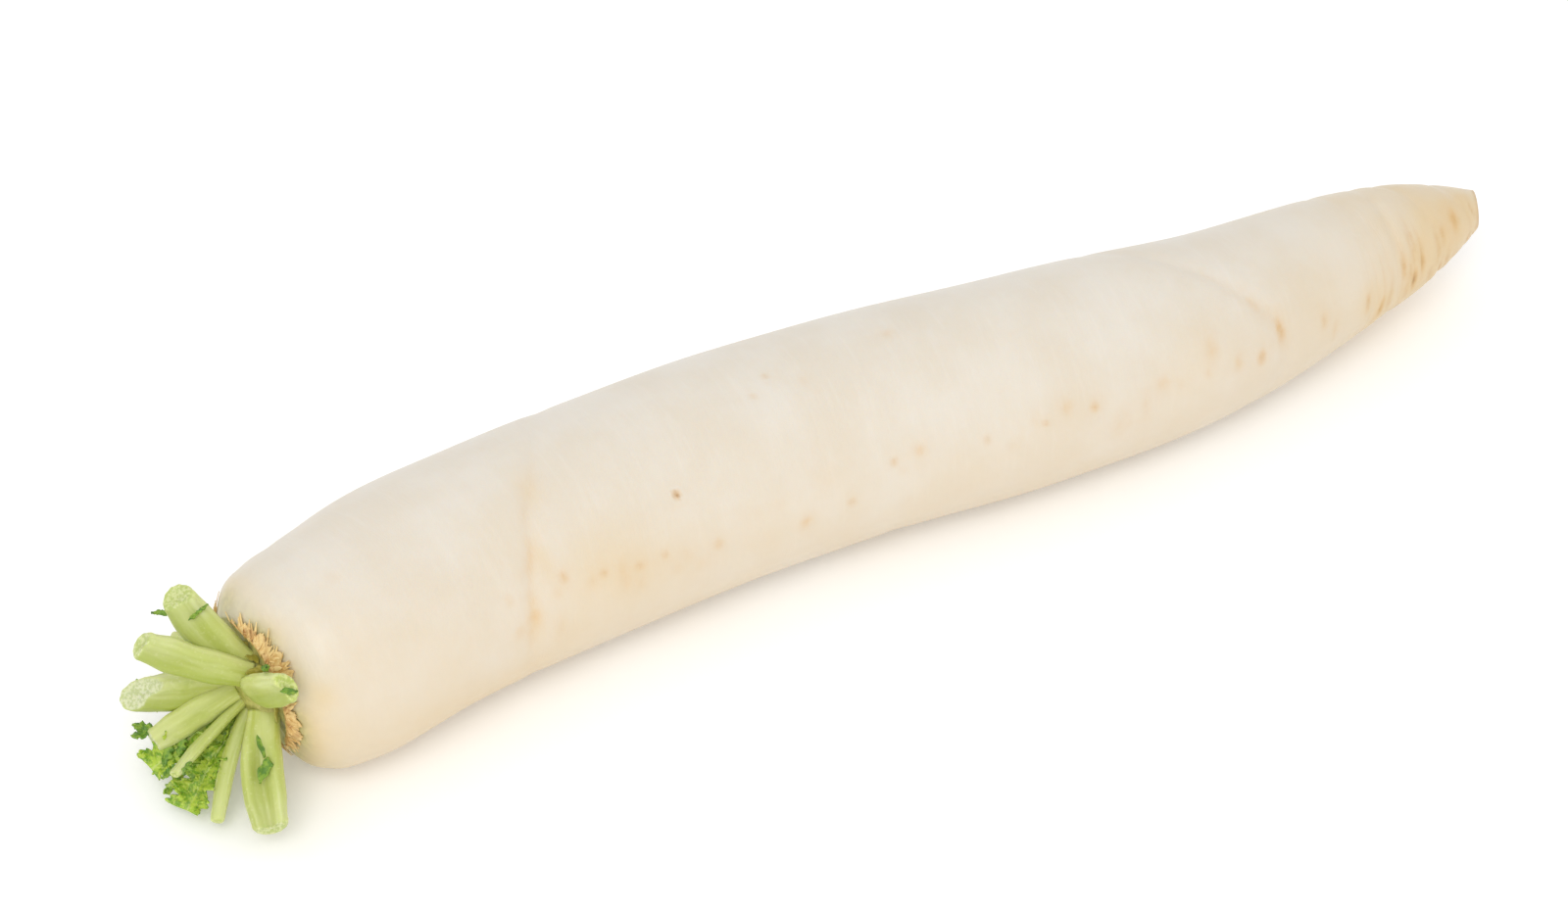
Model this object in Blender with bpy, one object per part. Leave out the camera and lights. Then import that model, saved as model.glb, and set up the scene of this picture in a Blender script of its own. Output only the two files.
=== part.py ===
"""A long white daikon radish, trimmed as for sale, lying on its side.

The root is one solid: a blunt tip that was cut off, a body with a slow double bend,
a round shoulder and the low crown that the leaves grew from. Eleven leaf stalks, cut
short, fan out of the crown. Three ruffled young leaves stand between them, and four dry
brown leaf bases hang on round the rim of the crown.

Metres, +Z up. The origin is on the surface it lies on, under the middle of its box.
+X runs along the root, from the leaves to the tip.
"""

import math
import random

import bmesh
import bpy
import numpy as np
from mathutils import Vector, noise

# ---- driving dimensions, in metres -------------------------------------------------
ROOT_LENGTH = 0.378  # the root's own line, from the rim of the crown to the tip
ROOT_RADIUS = 0.0302  # at the widest
FLAT_SINK = 0.0003  # how far the belly is pressed flat where it lies
CROWN_HEIGHT = 0.0060  # the crown's dome, above its rim
CROWN_RADIUS = 0.0108  # the crown's dome, just above its rim
GAP = 0.00035  # clearance between neighbouring pieces
STALK_THICKNESS = 0.62  # a stalk's thickness, as a share of its width
BLADE_THICKNESS = 0.0008
WELDS = (0.00003, 0.00005, 0.00002, 0.00001, 0.000001)  # what counts as one point after a cut
SEED = 7

# ---- the root's line and girth -----------------------------------------------------
# share of ROOT_LENGTH from the crown's rim, then sideways bow as a share of ROOT_LENGTH
BOW = (
    (0.00, 0.004),
    (0.05, 0.003),
    (0.12, 0.0155),
    (0.25, 0.022),
    (0.42, 0.0165),
    (0.60, -0.0075),
    (0.73, -0.0175),
    (0.88, -0.0055),
    (1.00, 0.001),
)
# share of ROOT_LENGTH, then the line's height as a share of ROOT_RADIUS
LINE_HEIGHT = (
    (0.00, 0.93),
    (0.06, 0.975),
    (0.25, 0.99),
    (0.45, 0.965),
    (0.62, 0.915),
    (0.75, 0.85),
    (0.88, 0.775),
    (0.95, 0.74),
    (1.00, 0.70),
)
# share of ROOT_LENGTH, then the radius as a share of ROOT_RADIUS
GIRTH = (
    (0.000, 0.56),
    (0.008, 0.755),
    (0.022, 0.895),
    (0.045, 0.965),
    (0.080, 0.995),
    (0.20, 1.00),
    (0.34, 0.99),
    (0.50, 0.965),
    (0.62, 0.935),
    (0.70, 0.87),
    (0.80, 0.75),
    (0.88, 0.62),
    (0.94, 0.465),
    (0.975, 0.315),
    (0.992, 0.225),
    (1.000, 0.180),
    (1.012, 0.115),
)
# The tip is cut off along a slanted plane: its slope, the side that is cut back most in
# degrees from the top, and how far past the line's end it crosses the line
TIP_CUT = (0.65, 78, 0.0012)
# Creases that run round the root: share of ROOT_LENGTH, depth, half width, how far the
# crease slants along the root, and the side it is deepest on, in degrees from the top
CREASES = (
    (0.215, 0.0005, 0.0030, -0.020, 40),
    (0.480, 0.0003, 0.0040, -0.006, 150),
    (0.700, 0.0005, 0.0030, 0.024, 45),
    (0.868, 0.0005, 0.0018, 0.003, -90),
    (0.895, 0.0005, 0.0018, -0.003, 60),
    (0.925, 0.0006, 0.0018, 0.004, -80),
    (0.948, 0.0005, 0.0016, -0.002, 170),
    (0.968, 0.0005, 0.0014, 0.002, -60),
)
# The shoulder bulges more on one side: how far outwards and towards the leaves, how far
# along the root as a share of ROOT_LENGTH, and the side in degrees from the top
SHOULDER_BULGE = (0.0012, 0.0030, 0.022, -50)
LUMP_DEPTH = 0.00035
LUMP_SIZE = 0.030
ROOT_SIDES = 40
RING_STEP = 0.0070  # ring spacing along the body
FINE_STEP = 0.0024  # ring spacing over the shoulder and the wrinkled tip
SHOULDER_SHARE = 0.085
TIP_SHARE = 0.855

# ---- the leaf stalks ---------------------------------------------------------------
# Turns go round the crown in degrees, from its top towards the +Y side.
# foot: turn, distance from the crown's axis and height above its rim
# lean: turn, spread from the crown's axis, and roll about the stalk's own line
# cut: how far the cut end leans towards the knife's side
# A stalk gives way to the stalks listed before it where their feet meet.
STALKS = (
    # name, foot, lean, length, width, channel, cut, lobes
    ("leaf_stalk_01", (300, 0.0050, 0.0040), (309, 95, 20), 0.0266, 0.0098, 0.55, 0.1, 0),
    ("leaf_stalk_02", (328, 0.0084, 0.0034), (46, 39, 50), 0.0266, 0.0094, 0.42, 0.6, 0),
    ("leaf_stalk_03", (350, 0.0080, 0.0034), (44, 69, 60), 0.0222, 0.0104, 0.25, 1.2, 1),
    ("leaf_stalk_04", (252, 0.0084, 0.0030), (235, 69, -66), 0.0280, 0.0106, 1.15, 0.4, 0),
    ("leaf_stalk_05", (200, 0.0050, 0.0044), (222, 52, -60), 0.0284, 0.0042, 0.20, 0.4, 0),
    ("leaf_stalk_06", (130, 0.0015, 0.0055), (150, 33, 0), 0.0244, 0.0074, 0.30, 0.6, 3),
    ("leaf_stalk_07", (200, 0.0034, 0.0054), (226, 23, -20), 0.0238, 0.0044, 0.20, 0.3, 2),
    ("leaf_stalk_08", (120, 0.0045, 0.0048), (92, 27, 0), 0.0222, 0.0114, 0.45, 1.8, 0),
    ("leaf_stalk_09", (122, 0.0070, 0.0034), (122, 70, 0), 0.0240, 0.0080, 0.35, 0.2, 2),
    ("leaf_stalk_10", (152, 0.0070, 0.0034), (150, 48, 0), 0.0210, 0.0070, 0.30, 0.2, 2),
    ("leaf_stalk_11", (70, 0.0080, 0.0034), (88, 57, 0), 0.0165, 0.0064, 0.30, 0.4, 0),
)
STALK_STEPS = 8
END_TAPER = 0.14  # how much narrower a stalk is at its cut end
# The knife's side, which the cut ends face: turn, and spread from the crown's axis
KNIFE = (315, 66)
# A cut end's rounded edge: each ring's size, and how far it stands forward
CUT_EDGE = ((0.93, 0.0008), (0.78, 0.0013))
STALK_SIDES = 12
# ---- the young leaves: name, foot, lean, length, half width -------------------------
YOUNG_LEAVES = (
    ("young_leaf_1", (172, 0.0065, 0.0040), (212, 40, -45), 0.0300, 0.0062),
    ("young_leaf_2", (165, 0.0050, 0.0050), (166, 30, -20), 0.0285, 0.0050),
    ("young_leaf_3", (112, 0.0052, 0.0050), (110, 42, 0), 0.0240, 0.0050),
)
LEAF_STEPS = 22
LEAF_ACROSS = 8
LEAF_LOBES = 7
RUFFLE = 0.0015
# ---- the dry leaf bases ------------------------------------------------------------
# name, first and last turn round the rim in degrees, how far out over the shoulder its
# first and last teeth reach
DRY_BASES = (
    ("dry_leaf_base_1", 234, 278, 0.0020, 0.0030),
    ("dry_leaf_base_2", 306, 366, 0.0040, 0.0014),
    ("dry_leaf_base_3", 62, 106, 0.0030, 0.0030),
    ("dry_leaf_base_4", 140, 196, 0.0030, 0.0030),
)
DRY_THICKNESS = 0.0009

SKIN_WHITE = (0.83, 0.77, 0.65)
STALK_GREEN = (0.50, 0.62, 0.17)
LEAF_GREEN = (0.13, 0.27, 0.03)
DRY_BROWN = (0.45, 0.24, 0.09)


# ---- small helpers -----------------------------------------------------------------
def smooth_through(points, where):
    """The height at `where` of a smooth curve through (place, height) points."""
    x = np.array([p[0] for p in points])
    y = np.array([p[1] for p in points])
    slope = np.gradient(y, x)
    i = int(np.clip(np.searchsorted(x, where) - 1, 0, len(x) - 2))
    span = x[i + 1] - x[i]
    t = (where - x[i]) / span
    rise = y[i] * (2 * t**3 - 3 * t**2 + 1) + y[i + 1] * (3 * t**2 - 2 * t**3)
    lean = slope[i] * (t**3 - 2 * t**2 + t) + slope[i + 1] * (t**3 - t**2)
    return float(rise + span * lean)


def ease(t):
    """0 to 1 with a soft start and end."""
    t = min(max(t, 0.0), 1.0)
    return t * t * (3 - 2 * t)


def new_object(name, mesh, collection=None):
    made = bpy.data.objects.new(name, mesh)
    (collection or bpy.context.scene.collection).objects.link(made)
    return made


def mesh_of(name, points, faces):
    """A mesh with its faces pointing out."""
    mesh = bpy.data.meshes.new(name)
    mesh.from_pydata([tuple(p) for p in points], [], faces)
    work = bmesh.new()
    work.from_mesh(mesh)
    bmesh.ops.recalc_face_normals(work, faces=work.faces)
    work.to_mesh(mesh)
    work.free()
    return mesh


def loft(name, rings, first_cap, last_cap):
    """A closed mesh over rings of equal size, each end closed round a middle point."""
    sides = len(rings[0])
    points = [p for ring in rings for p in ring] + [first_cap, last_cap]
    faces = []
    for i in range(len(rings) - 1):
        for j in range(sides):
            a, b = i * sides + j, i * sides + (j + 1) % sides
            faces.append((a, b, b + sides, a + sides))
    last = (len(rings) - 1) * sides
    for j in range(sides):
        k = (j + 1) % sides
        faces.append((len(points) - 2, k, j))
        faces.append((len(points) - 1, last + j, last + k))
    return mesh_of(name, points, faces)


def closed(work):
    return all(len(edge.link_faces) == 2 for edge in work.edges)


def weld(mesh):
    """Joins the near-double points that a cut leaves, if the mesh stays closed."""
    for distance in WELDS:
        work = bmesh.new()
        work.from_mesh(mesh)
        bmesh.ops.triangulate(work, faces=work.faces)
        bmesh.ops.remove_doubles(work, verts=work.verts, dist=distance)
        bmesh.ops.dissolve_degenerate(work, edges=work.edges, dist=distance)
        whole = closed(work)
        if whole:
            work.to_mesh(mesh)
        work.free()
        if whole:
            return True
    return False


def boolean(target, others, operation):
    """Joins or cuts target with the others in one applied Boolean, and removes them."""
    held = bpy.data.collections.new("tools")
    bpy.context.scene.collection.children.link(held)
    for other in others:
        for old in list(other.users_collection):
            old.objects.unlink(other)
        held.objects.link(other)
    modifier = target.modifiers.new(operation.lower(), "BOOLEAN")
    modifier.operation = operation
    modifier.operand_type = "COLLECTION"
    modifier.collection = held
    for solver in ("EXACT", "MANIFOLD"):
        modifier.solver = solver
        graph = bpy.context.evaluated_depsgraph_get()
        result = bpy.data.meshes.new_from_object(target.evaluated_get(graph))
        if weld(result):
            break
    target.modifiers.clear()
    target.data = result
    for other in others:
        bpy.data.objects.remove(other)
    bpy.data.collections.remove(held)


def material(name, colour, roughness):
    made = bpy.data.materials.new(name)
    made.use_nodes = True
    shader = made.node_tree.nodes["Principled BSDF"]
    shader.inputs["Base Color"].default_value = (*colour, 1.0)
    shader.inputs["Roughness"].default_value = roughness
    shader.inputs["Metallic"].default_value = 0.0
    return made


# ---- the root ----------------------------------------------------------------------
def line_point(share):
    """A point on the root's line. Before 0 and after 1 the line runs on straight."""
    inside = min(max(share, 0.0), 1.0)
    at = Vector(
        (
            inside * ROOT_LENGTH,
            smooth_through(BOW, inside) * ROOT_LENGTH,
            smooth_through(LINE_HEIGHT, inside) * ROOT_RADIUS - FLAT_SINK,
        )
    )
    if share != inside:
        at += line_direction(inside) * (share - inside) * ROOT_LENGTH
    return at


def line_direction(share):
    """Unit direction of the line, towards the tip."""
    step = 0.004
    low, high = max(share - step, 0.0), min(share + step, 1.0)
    return (line_point(high) - line_point(low)).normalized()


def section_axes(share):
    """(side, up) of the cross-section there. side is towards -Y."""
    along = line_direction(min(max(share, 0.0), 1.0))
    side = along.cross(Vector((0, 0, 1))).normalized()
    return side, side.cross(along)


def crease_depth(share, angle):
    depth = 0.0
    for place, deep, half, slant, side in CREASES:
        off = (share - place) * ROOT_LENGTH - slant * math.sin(angle)
        facing = 0.5 + 0.5 * math.cos(angle - math.radians(side))
        depth += deep * facing * math.exp(-((off / half) ** 2))
    return depth


def shoulder_bulge(share, angle):
    """How far the shoulder stands outwards and towards the leaves there."""
    out, forward, reach, side = SHOULDER_BULGE
    facing = max(0.0, math.cos(angle - math.radians(side))) ** 2
    size = facing * math.exp(-((share / reach) ** 2))
    return out * size, forward * size


def slanted(share, angle):
    """The share at which a ring's point lies, as the last rings turn to the tip's cut."""
    slope, side, reach = TIP_CUT
    facing = math.cos(angle - math.radians(side))
    end = 1.0
    for _ in range(4):
        radius = smooth_through(GIRTH, end) * ROOT_RADIUS
        end = 1.0 + (reach - slope * facing * radius) / ROOT_LENGTH
    return share + (end - 1.0) * ease((share - TIP_SHARE) / (1.0 - TIP_SHARE))


def skin_point(share, angle, grow=0.0):
    """A point on the root's skin, or that far outside it.

    angle is from the top, positive towards -Y's side."""
    share = slanted(share, angle)
    side, up = section_axes(share)
    outward = up * math.cos(angle) + side * math.sin(angle)
    centre = line_point(share)
    radius = smooth_through(GIRTH, share) * ROOT_RADIUS
    body = ease(share / SHOULDER_SHARE)
    lump = noise.noise((centre + outward * radius) / LUMP_SIZE) * LUMP_DEPTH * body
    bulge, forward = shoulder_bulge(share, angle)
    radius += bulge + lump - crease_depth(share, angle) + grow
    at = centre + outward * radius
    at -= line_direction(min(share, 1.0)) * (forward + grow * (1 - body))
    at.z = max(at.z, -grow)
    return at


def ring_shares():
    """Where the root's rings lie: close together where its shape turns quickly."""
    shares = [0.0]
    while shares[-1] < 1.0 - 0.5 * FINE_STEP / ROOT_LENGTH:
        fine = shares[-1] < SHOULDER_SHARE or shares[-1] >= TIP_SHARE
        shares.append(shares[-1] + (FINE_STEP if fine else RING_STEP) / ROOT_LENGTH)
    shares[-1] = 1.0
    return shares


def crown_rings(grow=0.0):
    """The crown's dome as rings, from near its top down to the rim."""
    side, up = section_axes(0.0)
    rings = []
    for i in range(1, 6):
        slope = 0.1 * math.pi * i
        height = CROWN_HEIGHT * math.cos(slope) ** 0.8 if i < 5 else 0.0007
        radius = CROWN_RADIUS * math.sin(slope) ** 0.9 + grow
        centre = line_point(-(height + grow) / ROOT_LENGTH)
        turns = [2 * math.pi * j / ROOT_SIDES for j in range(ROOT_SIDES)]
        rings.append(
            [centre + (up * math.cos(a) + side * math.sin(a)) * radius for a in turns]
        )
    return rings


def root_mesh(name, shares, last_share, grow=0.0):
    """The root's skin over the crown and the given rings, or that far outside it.

    The middle of its last face lies on the line at last_share."""
    angles = [2 * math.pi * j / ROOT_SIDES for j in range(ROOT_SIDES)]
    rings = crown_rings(grow)
    rings += [[skin_point(s, a, grow) for a in angles] for s in shares]
    top = line_point(-(CROWN_HEIGHT + grow) / ROOT_LENGTH)
    return loft(name, rings, top, line_point(last_share))


def build_root():
    _slope, _side, reach = TIP_CUT
    last_share = 1.0 + reach / ROOT_LENGTH
    return new_object("root", root_mesh("root", ring_shares(), last_share))


def crown_cutter():
    """The crown and the shoulder, grown by the gap."""
    shares = [s for s in ring_shares() if s < 2 * SHOULDER_SHARE]
    return new_object("cutter", root_mesh("cutter", shares, shares[-1], GAP))


# ---- what grows from the crown -----------------------------------------------------
def crown_axes():
    """The crown's axis out of the root, then up and side across it."""
    side, up = section_axes(0.0)
    return -line_direction(0.0), up, side


def round_crown(turn):
    """Unit direction out from the crown's axis at that turn."""
    _axis, up, side = crown_axes()
    return up * math.cos(math.radians(turn)) - side * math.sin(math.radians(turn))


def stem_frames(foot, lean, length, steps):
    """Frames along a stem that leaves the crown steeply and bends outwards.

    Each frame is (centre, along, inner, across); inner faces the crown's axis, or away
    from it by the roll."""
    axis = crown_axes()[0]
    foot_turn, out, height = foot
    turn, spread, roll = lean
    at = line_point(-height / ROOT_LENGTH) + round_crown(foot_turn) * out
    outward = round_crown(turn)
    rolled = math.radians(roll)
    frames = []
    for i in range(steps + 1):
        angle = math.radians(spread) * (0.86 + 0.24 * ease(i / steps))
        along = axis * math.cos(angle) + outward * math.sin(angle)
        inner = axis * math.sin(angle) - outward * math.cos(angle)
        inner = inner * math.cos(rolled) + along.cross(inner) * math.sin(rolled)
        frames.append((at.copy(), along, inner, along.cross(inner)))
        at = at + along * (length / steps)
    return frames


def stalk_section(frame, width, channel, sides, grow):
    """One cross-section: round outside, with a channel down the inner face."""
    centre, _along, inner, across = frame
    ring = []
    for j in range(sides):
        a = 2 * math.pi * j / sides
        x, y = math.cos(a), math.sin(a)
        thick = STALK_THICKNESS * (0.42 if y > 0 else 0.58)
        dip = channel * math.exp(-((x / 0.42) ** 2)) * (y > 0)
        wide = 0.5 * width * x * (1 + 0.06 * y)
        ring.append(
            centre
            + across * (wide + grow * x)
            + inner * (width * thick * y * (1 - dip) + grow * y)
        )
    return ring


def stalk_widths(width):
    """The width at each step: narrow at the foot, and again at the cut end."""
    shares = [i / STALK_STEPS for i in range(STALK_STEPS + 1)]
    ends = [1 - END_TAPER * ease((t - 0.75) / 0.25) for t in shares]
    return [width * (0.76 + 0.24 * ease(t / 0.5)) * end for t, end in zip(shares, ends)]


def cut_slope(along, cut):
    """How far forward the cut end of a stalk lies, per distance from its middle."""
    turn, spread = KNIFE
    side = crown_axes()[0] * math.cos(math.radians(spread))
    side += round_crown(turn) * math.sin(math.radians(spread))
    facing = along.dot(side)
    return (along * facing - side) * cut / (1 + cut * facing)


def stalk_mesh(spec, grow=0.0):
    name, foot, lean, length, width, channel, cut, _lobes = spec
    frames = stem_frames(foot, lean, length, STALK_STEPS)
    along = frames[-1][1]
    slope = cut_slope(along, cut)
    rings = []
    for i, (frame, wide) in enumerate(zip(frames, stalk_widths(width))):
        share = i / STALK_STEPS
        ring = stalk_section(frame, wide, channel * ease(2 * share), STALK_SIDES, grow)
        # The rings turn little by little to the slope of the cut.
        turned = max(0.0, (share - 0.3) / 0.7)
        rings.append([p + along * (p - frame[0]).dot(slope) * turned for p in ring])
    rings[0] = [p - frames[0][1] * grow for p in rings[0]]
    centre, edge = frames[-1][0], rings[-1]
    for scale, forward in CUT_EDGE:
        rings.append([centre + (p - centre) * scale + along * (forward + grow) for p in edge])
    pith = centre + along * (grow - 0.0004)
    return loft(name, rings, frames[0][0] - frames[0][1] * grow, pith)


def lobe(frame, start, reach, width, edge, turned, grow):
    """A small leaf lobe: a pointed, folded flap that stands out from a stalk's edge."""
    _centre, along, inner, across = frame
    out = (across * edge + inner * 0.25).normalized()
    heading = (along * math.cos(turned) + out * math.sin(turned)).normalized()
    flat = heading.cross(inner).normalized()
    normal = flat.cross(heading)
    outline = ((0.0, 0.5), (0.45, 1.0), (0.75, 0.7), (1.0, 0.12))
    places = [(x * (reach + grow), y * width + grow) for x, y in outline]
    rim = [start + heading * x + flat * y for x, y in places]
    rim += [start + heading * x - flat * y for x, y in reversed(places)]
    half = normal * (BLADE_THICKNESS / 2 + grow)
    fold = normal * width * 0.35
    middle = start + heading * reach * 0.55
    points = [p + fold + half for p in rim] + [p + fold - half for p in rim]
    points += [middle + half, middle - half]
    count = len(rim)
    faces = []
    for i in range(count):
        j = (i + 1) % count
        faces.append((i, j, j + count, i + count))
        faces.append((2 * count, j, i))
        faces.append((2 * count + 1, i + count, j + count))
    return mesh_of("lobe", points, faces)


def stalk_lobes(spec, grow=0.0):
    """The lobes left on one stalk near its cut end, on one edge and then the other."""
    name, foot, lean, length, width, _channel, _cut, count = spec
    frames = stem_frames(foot, lean, length, STALK_STEPS)
    draw = random.Random(name)
    made = []
    for i in range(count):
        frame = frames[STALK_STEPS - 1 - i // 2]
        edge = 1 if (i + lean[0]) % 2 else -1
        start = frame[0] + frame[3] * edge * (width * 0.5 - 0.0013)
        reach, wide = draw.uniform(0.0048, 0.0066), draw.uniform(0.0011, 0.0016)
        turned = math.radians(draw.uniform(28, 58))
        mesh = lobe(frame, start, reach, wide, edge, turned, grow)
        made.append(new_object("lobe", mesh))
    return made


def near(first, second):
    """Whether two feet on the crown are close enough to meet."""
    apart = abs((first[0] - second[0] + 180) % 360 - 180)
    return apart < 100 or min(first[1], second[1]) < 0.006


def stalk_cutters(foot, stalks):
    """The given stalks that stand near that foot, grown by the gap."""
    cutters = []
    for other in stalks:
        if near(foot, other[1]):
            cutters.append(new_object("cutter", stalk_mesh(other, GAP)))
            cutters += stalk_lobes(other, GAP)
    return cutters


def keep_largest(target):
    """Drops the scraps that a cut left loose."""
    work = bmesh.new()
    work.from_mesh(target.data)
    left = set(work.verts)
    pieces = []
    while left:
        piece, front = set(), [left.pop()]
        while front:
            vertex = front.pop()
            piece.add(vertex)
            for edge in vertex.link_edges:
                other = edge.other_vert(vertex)
                if other in left:
                    left.discard(other)
                    front.append(other)
        pieces.append(piece)
    pieces.sort(key=len)
    loose = [v for piece in pieces[:-1] for v in piece]
    bmesh.ops.delete(work, geom=loose, context="VERTS")
    work.to_mesh(target.data)
    work.free()


def build_stalks():
    """Each stalk is cut back from the crown and from the stalks made before it."""
    made = []
    for number, spec in enumerate(STALKS):
        stalk = new_object(spec[0], stalk_mesh(spec))
        lobes = stalk_lobes(spec)
        if lobes:
            boolean(stalk, lobes, "UNION")
        cutters = [crown_cutter()] + stalk_cutters(spec[1], STALKS[:number])
        boolean(stalk, cutters, "DIFFERENCE")
        keep_largest(stalk)
        made.append(stalk)
    return made


def young_leaf_mesh(spec, grow=0.0):
    """A ruffled blade with a lobed edge on a narrow midrib."""
    name, foot, lean, length, half_width = spec
    frames = stem_frames(foot, lean, length + grow, LEAF_STEPS)
    sheet = []
    for i, (centre, _along, inner, across) in enumerate(frames):
        t = i / LEAF_STEPS
        row = []
        for j in range(LEAF_ACROSS + 1):
            v = 2 * j / LEAF_ACROSS - 1
            lobed = 0.76 + 0.24 * math.cos(2 * math.pi * (LEAF_LOBES * t + 0.2 * v))
            wide = half_width * (0.14 + 0.86 * ease(t / 0.45)) * lobed + grow
            wave = math.sin(2 * math.pi * (3.6 * t + 0.35 * v) + lean[0])
            lift = abs(v) ** 1.5 * wide * 0.45 + wave * RUFFLE * abs(v) * ease(2 * t)
            row.append(centre + across * wide * v + inner * lift)
        sheet.append(row)
    return slab(name, *two_faces(sheet, BLADE_THICKNESS + 2 * grow))


def two_faces(sheet, thickness):
    """The sheet's two faces, half the thickness to each side."""
    rows, columns = len(sheet), len(sheet[0])
    over, under = [], []
    for i in range(rows):
        above, below = [], []
        for j in range(columns):
            run = sheet[min(i + 1, rows - 1)][j] - sheet[max(i - 1, 0)][j]
            cross = sheet[i][min(j + 1, columns - 1)] - sheet[i][max(j - 1, 0)]
            half = run.cross(cross).normalized() * thickness / 2
            above.append(sheet[i][j] + half)
            below.append(sheet[i][j] - half)
        over.append(above)
        under.append(below)
    return over, under


def slab(name, over, under):
    """A closed blade between two grids of points, split into the same triangles."""
    rows, columns = len(over), len(over[0])
    points = [p for row in over for p in row] + [p for row in under for p in row]
    below = rows * columns
    faces = []
    for i in range(rows - 1):
        for j in range(columns - 1):
            a = i * columns + j
            b, c, d = a + 1, a + columns + 1, a + columns
            for tri in ((a, b, c), (a, c, d)):
                faces.append(tri)
                faces.append(tuple(below + k for k in reversed(tri)))
    edge = [j for j in range(columns)]
    edge += [i * columns + columns - 1 for i in range(1, rows)]
    edge += [(rows - 1) * columns + j for j in range(columns - 2, -1, -1)]
    edge += [i * columns for i in range(rows - 2, 0, -1)]
    for a, b in zip(edge, edge[1:] + edge[:1]):
        faces.append((b, a, below + a))
        faces.append((b, below + a, below + b))
    return mesh_of(name, points, faces)


def build_young_leaves():
    made = []
    for number, spec in enumerate(YOUNG_LEAVES):
        leaf = new_object(spec[0], young_leaf_mesh(spec))
        cutters = [crown_cutter()] + stalk_cutters(spec[1], STALKS)
        for other in YOUNG_LEAVES[:number]:
            cutters.append(new_object("cutter", young_leaf_mesh(other, 1.5 * GAP)))
        boolean(leaf, cutters, "DIFFERENCE")
        keep_largest(leaf)
        made.append(leaf)
    return made


def dry_row(turn, tooth, lift):
    """Four points from the crown's rim out over the shoulder, that far off the skin."""
    rim = skin_point(0.0, math.radians(-turn), lift)
    inner = rim - round_crown(turn) * 0.0022 + crown_axes()[0] * 0.0003
    outs = (tooth * 0.5 / ROOT_LENGTH, tooth / ROOT_LENGTH)
    return [inner, rim] + [skin_point(s, math.radians(-turn), lift) for s in outs]


def build_dry_base(name, first, last, first_reach, last_reach, draw):
    """A ragged brown scale over the crown's rim, its teeth lying on the shoulder."""
    steps = round((last - first) / 4)
    over, under = [], []
    for k in range(steps + 1):
        turn = first + (last - first) * k / steps
        reach = first_reach + (last_reach - first_reach) * k / steps
        tooth = reach * (draw.uniform(0.5, 1.0) if k % 2 else draw.uniform(0.1, 0.4))
        under.append(dry_row(turn, tooth, 1.7 * GAP))
        over.append(dry_row(turn, tooth, 1.7 * GAP + DRY_THICKNESS))
    scale = new_object(name, slab(name, over, under))
    foot = ((first + last) / 2, CROWN_RADIUS)
    boolean(scale, stalk_cutters(foot, STALKS), "DIFFERENCE")
    keep_largest(scale)
    return scale


def build_dry_bases():
    draw = random.Random(SEED)
    return [build_dry_base(*spec, draw) for spec in DRY_BASES]


def stand_on_origin(objects):
    """Moves every mesh so that the origin is under the middle of the whole box."""
    corners = np.array([tuple(v.co) for o in objects for v in o.data.vertices])
    low, high = corners.min(axis=0), corners.max(axis=0)
    middle = Vector(((low[0] + high[0]) / 2, (low[1] + high[1]) / 2, 0.0))
    for made in objects:
        for vertex in made.data.vertices:
            vertex.co -= middle


def main():
    for old in list(bpy.data.objects):
        bpy.data.objects.remove(old)
    skin = material("radish_skin", SKIN_WHITE, 0.45)
    green = material("stalk_green", STALK_GREEN, 0.5)
    leaf = material("leaf_green", LEAF_GREEN, 0.6)
    dry = material("dry_leaf", DRY_BROWN, 0.85)
    groups = (
        ([build_root()], skin),
        (build_stalks(), green),
        (build_young_leaves(), leaf),
        (build_dry_bases(), dry),
    )
    for objects, finish in groups:
        for made in objects:
            made.data.materials.clear()
            made.data.materials.append(finish)
            made.data.shade_smooth()
            made.data.set_sharp_from_angle(angle=math.radians(50))
    stand_on_origin([made for objects, _finish in groups for made in objects])


main()
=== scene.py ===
"""The looks of a daikon radish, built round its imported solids.

Each shown piece repeats the measures of the solid that it stands for, with a finer mesh:
the root's skin with its creases, wrinkles and root scars, the cut leaf stalks with their
ribs and leaflets, the frilly young leaves and the flakes of the dry leaf bases.

Metres, +Z up. The origin is on the floor, under the middle of the radish's box.
"""

import random
from math import cos, pi, radians, sin

import bpy
import numpy as np
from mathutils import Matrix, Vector, noise


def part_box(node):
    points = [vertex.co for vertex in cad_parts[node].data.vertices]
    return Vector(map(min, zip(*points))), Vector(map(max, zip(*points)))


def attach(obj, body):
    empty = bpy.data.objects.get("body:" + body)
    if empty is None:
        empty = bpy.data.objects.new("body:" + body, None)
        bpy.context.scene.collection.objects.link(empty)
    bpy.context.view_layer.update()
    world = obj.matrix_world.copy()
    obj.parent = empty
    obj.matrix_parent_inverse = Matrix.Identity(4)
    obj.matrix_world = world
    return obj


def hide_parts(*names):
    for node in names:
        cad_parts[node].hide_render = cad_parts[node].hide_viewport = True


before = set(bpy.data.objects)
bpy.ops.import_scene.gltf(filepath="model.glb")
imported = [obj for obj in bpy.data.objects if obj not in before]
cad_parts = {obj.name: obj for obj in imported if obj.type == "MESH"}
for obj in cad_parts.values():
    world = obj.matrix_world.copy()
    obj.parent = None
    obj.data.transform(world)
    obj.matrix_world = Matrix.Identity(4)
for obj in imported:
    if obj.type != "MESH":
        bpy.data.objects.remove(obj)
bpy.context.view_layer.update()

# ---- the root, as in its solid ----
ROOT_LENGTH = 0.378
ROOT_RADIUS = 0.0302
FLAT_SINK = 0.0003
CROWN_HEIGHT = 0.006
CROWN_RADIUS = 0.0108
CROWN_LEDGE = 0.0007  # the dome's foot, above the rim
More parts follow.
